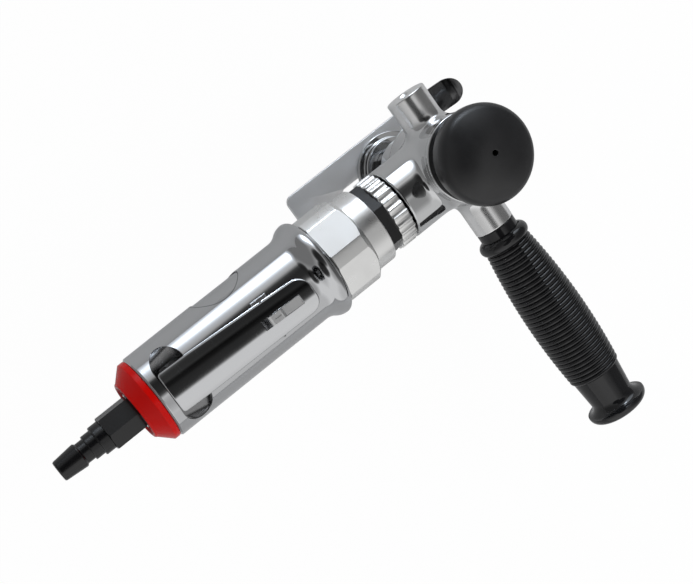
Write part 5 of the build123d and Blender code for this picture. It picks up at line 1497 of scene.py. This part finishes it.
slot = prism("slot", outline([
    (slot_start, -slot_half_width, slot_round), (slot_end, -slot_half_width, slot_round),
    (slot_end, slot_half_width, slot_round), (slot_start, slot_half_width, slot_round)]), 0.0, 12 * MM)
slot.data.transform(lever_place)
carve(throttle_lever, slot)
for low in (hinge_ear, -hinge_ear - ear_thickness):
    carve(throttle_lever, lever_ear(low, 0.0, hinge_ear_reach, hinge_ear_top), "UNION")
for low in (latch_ear, -latch_ear - ear_thickness):
    ear = lever_ear(low, latch_pin[0], latch_ear_reach, latch_ear_top, latch_ear_bottom)
    carve(throttle_lever, ear, "UNION")
carve(throttle_lever, lever_bore(0.0, 0.0, hinge_bore))
carve(throttle_lever, lever_bore(*latch_pin, latch_bore))
print("lever with slot and ears", len(throttle_lever.data.polygons), "faces")


# %% Lever normals
def lever_normals():
    crisp(throttle_lever, 35)
    places, facing = corner_data(throttle_lever.data)
    normals = plain_normals(throttle_lever.data)
    turn = np.array(lever_place.to_3x3())
    local = (places - np.array(pivot)) @ turn / MM
    plan = local[:, :2]
    on_top = (np.abs(local[:, 2] - lever_height(plan)) < 0.01) & (edge_distance(plan) > 0.2)
    on_top &= (facing @ np.array(lever_above)) > 0.1
    step = 0.02
    slope_x = (lever_height(plan + (step, 0)) - lever_height(plan - (step, 0))) / (2 * step)
    slope_y = (lever_height(plan + (0, step)) - lever_height(plan - (0, step))) / (2 * step)
    true = np.stack((-slope_x, -slope_y, np.ones(len(plan))), axis=1)
    true /= np.linalg.norm(true, axis=1)[:, None]
    normals[on_top] = (true @ turn.T)[on_top]
    throttle_lever.data.normals_split_custom_set(normals)


lever_normals()
dress(throttle_lever, polished_steel, "lever", "throttle_lever")

# %% [markdown]
# ## Safety latch
# The latch stops the lever until it is swung out of the way: a leg that stands over the barrel, a hub on
# its pin, a folded thumb bump above and a finger tab that lies in the lever's slot with its end a little
# proud. Each is a slab over its side view, given as heights above the pin and distances along the lever.

# %% Latch
latch_centre = pivot + lever_along * latch_pin[0] * MM + lever_above * latch_pin[1] * MM
latch_half_width = 2.35
latch_hub, latch_hole = 1.8, 0.79
leg_foot, leg_half = -7.8, 1.1
tab_low, tab_high, tab_root, tab_end = 2.0, 3.3, 6.7, 16.6
tab_lean = math.radians(4.0)
bump_low, bump_high, bump_rear = 0.2, 5.0, -1.9
fold_floor, fold_rear, fold_front, fold_half_width = 4.3, 1.2, 4.6, 0.28
LATCH_SIDE = {"origin": (0, 0, 0), "first": (0, 0, 1), "second": (1, 0, 0)}


def latch_slab(name, corners, half):
    """A slab across the latch over a rounded outline of height and distance, in millimetres."""
    return prism(name, outline(corners), -half * MM, half * MM, **LATCH_SIDE)


def make_latch():
    rise = (tab_end - tab_root) * math.tan(tab_lean)  # the tab's end stands this much higher than its root
    leg = [(leg_foot, -leg_half, 0.5), (leg_foot, leg_half, 0.5), (0, leg_half, 0), (0, -leg_half, 0)]
    tab = [(tab_low, 0, 0), (tab_high, 0, 0), (tab_high, tab_root, 0), (tab_high + rise, tab_end, 0.3),
           (tab_low + rise, tab_end, 0.3), (tab_low, tab_root, 0)]
    bump = [(bump_low, bump_rear, 0.6), (bump_high, bump_rear, 2.2), (bump_high, tab_root, 1.8),
            (bump_low, tab_root, 0.6)]
    fold = [(fold_floor, fold_rear, 0), (bump_high + 1, fold_rear, 0), (bump_high + 1, fold_front, 0),
            (fold_floor, fold_front, 0)]
    made = prism("safety_latch", circle(latch_hub * MM, 48), -latch_half_width * MM, latch_half_width * MM,
                 **LATCH_SIDE)
    for name, corners in (("leg", leg), ("tab", tab), ("bump", bump)):
        carve(made, latch_slab(name, corners, latch_half_width), "UNION")
    carve(made, latch_slab("fold", fold, fold_half_width))
    carve(made, prism("hole", circle(latch_hole * MM, 40), -4 * MM, 4 * MM, **LATCH_SIDE))
    soften(made, 0.3 * MM, 3, 40)
    place = lever_place.copy()
    place.translation = latch_centre
    made.data.transform(place)
    return made


safety_latch = make_latch()
dress(safety_latch, satin_steel, "latch", "safety_latch")

# %% [markdown]
# ## Forked shoe and its collar
# The shoe is a plate with a blade slot from the front and toes that turn up so that it rides over the
# work. It is laid out flat, sliced across where the toes bend, and each slice is lifted along the bend.
# The collar above it is a stepped turning.

# %% Shoe
shoe_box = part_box("shoe")
shoe_rear, shoe_front = span(shoe_box, "X")
shoe_half = span(shoe_box, "Y")[1]
shoe_thickness, shoe_corner = 2.5, 4.5
blade_half, blade_end, blade_round = 8.3, -33.0, 3.0
toe_start = shoe_front - 23.5
toe_rise = math.radians(24.0)
toe_bend = 10.0


def shoe_heights(x):
    """Height of the underside and of the deck at a place along the shoe."""
    heights = []
    centre = toe_bend + shoe_thickness
    for radius in (toe_bend + shoe_thickness, toe_bend):
        reach = radius * math.sin(toe_rise)
        if x <= toe_start:
            heights.append(centre - radius)
        elif x <= toe_start + reach:
            heights.append(centre - math.sqrt(radius**2 - (x - toe_start) ** 2))
        else:
            along = x - toe_start - reach
            heights.append(centre - radius * math.cos(toe_rise) + along * math.tan(toe_rise))
    return heights


def shoe_plan():
    toe_round = (shoe_half - blade_half) / 2 - 0.05
    return outline([
        (shoe_rear, -shoe_half, shoe_corner), (shoe_front, -shoe_half, toe_round),
        (shoe_front, -blade_half, toe_round), (blade_end, -blade_half, blade_round),
        (blade_end, blade_half, blade_round), (shoe_front, blade_half, toe_round),
        (shoe_front, shoe_half, toe_round), (shoe_rear, shoe_half, shoe_corner)])


def make_shoe():
    flat = prism("shoe", shoe_plan(), 0.0, shoe_thickness * MM)
    work = bmesh.new()
    work.from_mesh(flat.data)
    bend_cuts = np.arange(toe_start - 0.5, toe_start + 6.0, 0.5)
    for x in np.concatenate((bend_cuts, (shoe_front - 8, shoe_front - 4))):
        everything = work.verts[:] + work.edges[:] + work.faces[:]
        bmesh.ops.bisect_plane(work, geom=everything, plane_co=(x * MM, 0, 0), plane_no=(1, 0, 0))
    for vertex in work.verts:
        under, deck = shoe_heights(vertex.co.x / MM)
        vertex.co.z = (deck if vertex.co.z > 0.5 * shoe_thickness * MM else under) * MM
    work.to_mesh(flat.data)
    work.free()
    return soften(flat, 0.45 * MM, 3, 40)


shoe = make_shoe()
print("bent shoe", len(shoe.data.polygons), "faces")

# %% Countersinks of the shoe
screw_x, screw_y = 10.4, 12.4
screw_hole, screw_head = 1.63, 3.23
screw_cone = screw_head - screw_hole
sink_outline = outline([
    (-1, 0, 0), (-1, screw_head + 1, 0), (0, screw_head, 0), (screw_cone, screw_hole, 0), (4, screw_hole, 0),
    (4, 0, 0)])
for side_x in (-screw_x, screw_x):
    for side_y in (-screw_y, screw_y):
        carve(shoe, turned("sink", sink_outline, Vector((side_x * MM, side_y * MM, 0)), UP, 40))
crisp(shoe, 30)
dress(shoe, plate_steel, "tool", "shoe")

# %% Stepped collar
collar_low, collar_high = span(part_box("shoe_collar"), "Z")
collar_step = collar_low + 3.5
collar_foot, collar_neck, collar_bore = 21.7, 18.4, 13.03
shoe_collar = turned("shoe_collar", outline([
    (collar_low, collar_bore, 0), (collar_high, collar_bore, 0.2), (collar_high, collar_neck, 0.8),
    (collar_step, collar_neck, 0.6), (collar_step, collar_foot, 0.8), (collar_low, collar_foot, 0.3)]),
    plunger_origin, UP, 160)
dress(shoe_collar, chrome_plate, "tool", "shoe_collar")

# %% [markdown]
# ## Valve spring
# The spring stands in the valve's well, with its foot on the housing and its top under the valve's head, so
# it is squeezed when the lever goes down. It is a wire swept along a helix.

# %% Valve spring
spring_radius, spring_wire, spring_turns = 3.0, 0.45, 4
steps_per_turn, points_round_wire = 48, 16


def make_spring():
    low, high = span(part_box("valve_spring"), "Z")
    foot, top = low + spring_wire, high - spring_wire
    steps = steps_per_turn * spring_turns
    round_wire = [2 * math.pi * k / points_round_wire for k in range(points_round_wire)]
    vertices = []
    for step in range(steps + 1):
        turn = 2 * math.pi * spring_turns * step / steps
        away = Vector((math.cos(turn), math.sin(turn), 0))
        middle = Vector((valve_x / MM, 0, foot + (top - foot) * step / steps)) + away * spring_radius
        vertices += [middle + (away * math.cos(a) + UP * math.sin(a)) * spring_wire for a in round_wire]
    faces = tube_faces(steps + 1, points_round_wire)
    last_round = len(vertices) - points_round_wire
    faces += [list(range(points_round_wire)), list(range(last_round, len(vertices)))[::-1]]
    made = crisp(new_object("valve_spring", [v * MM for v in vertices], faces), 50)
    return made, foot * MM, top * MM


valve_spring, spring_foot, spring_top = make_spring()
valve_spring.data.materials.append(bright_steel)
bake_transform(valve_spring)
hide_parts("valve_spring")
print("spring", round((spring_top - spring_foot) / MM, 2), "mm between its end turns")

# %% [markdown]
# ## The pieces that stay as they are
# Bearings, gears, pins, screws and seals, and the spring of the latch, have the right shape already. They
# keep their solids' meshes and only take a finish.

# %% Finishes for the rest
finish_of = {
    "foot_sleeve": polished_steel, "seam_ring": seal_rubber, "wiper_seal": seal_rubber,
    "upper_bush": bronze, "lower_bush": bronze, "valve_bush": bronze,
    "rotor_vanes": vane_composite, "exhaust_silencer": silencer_felt,
}
for name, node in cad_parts.items():
    if node.hide_render:
        continue
    node.data.materials.clear()
    node.data.materials.append(finish_of.get(name, bright_steel))
    print("kept", name, "in", node.data.materials[0].name)
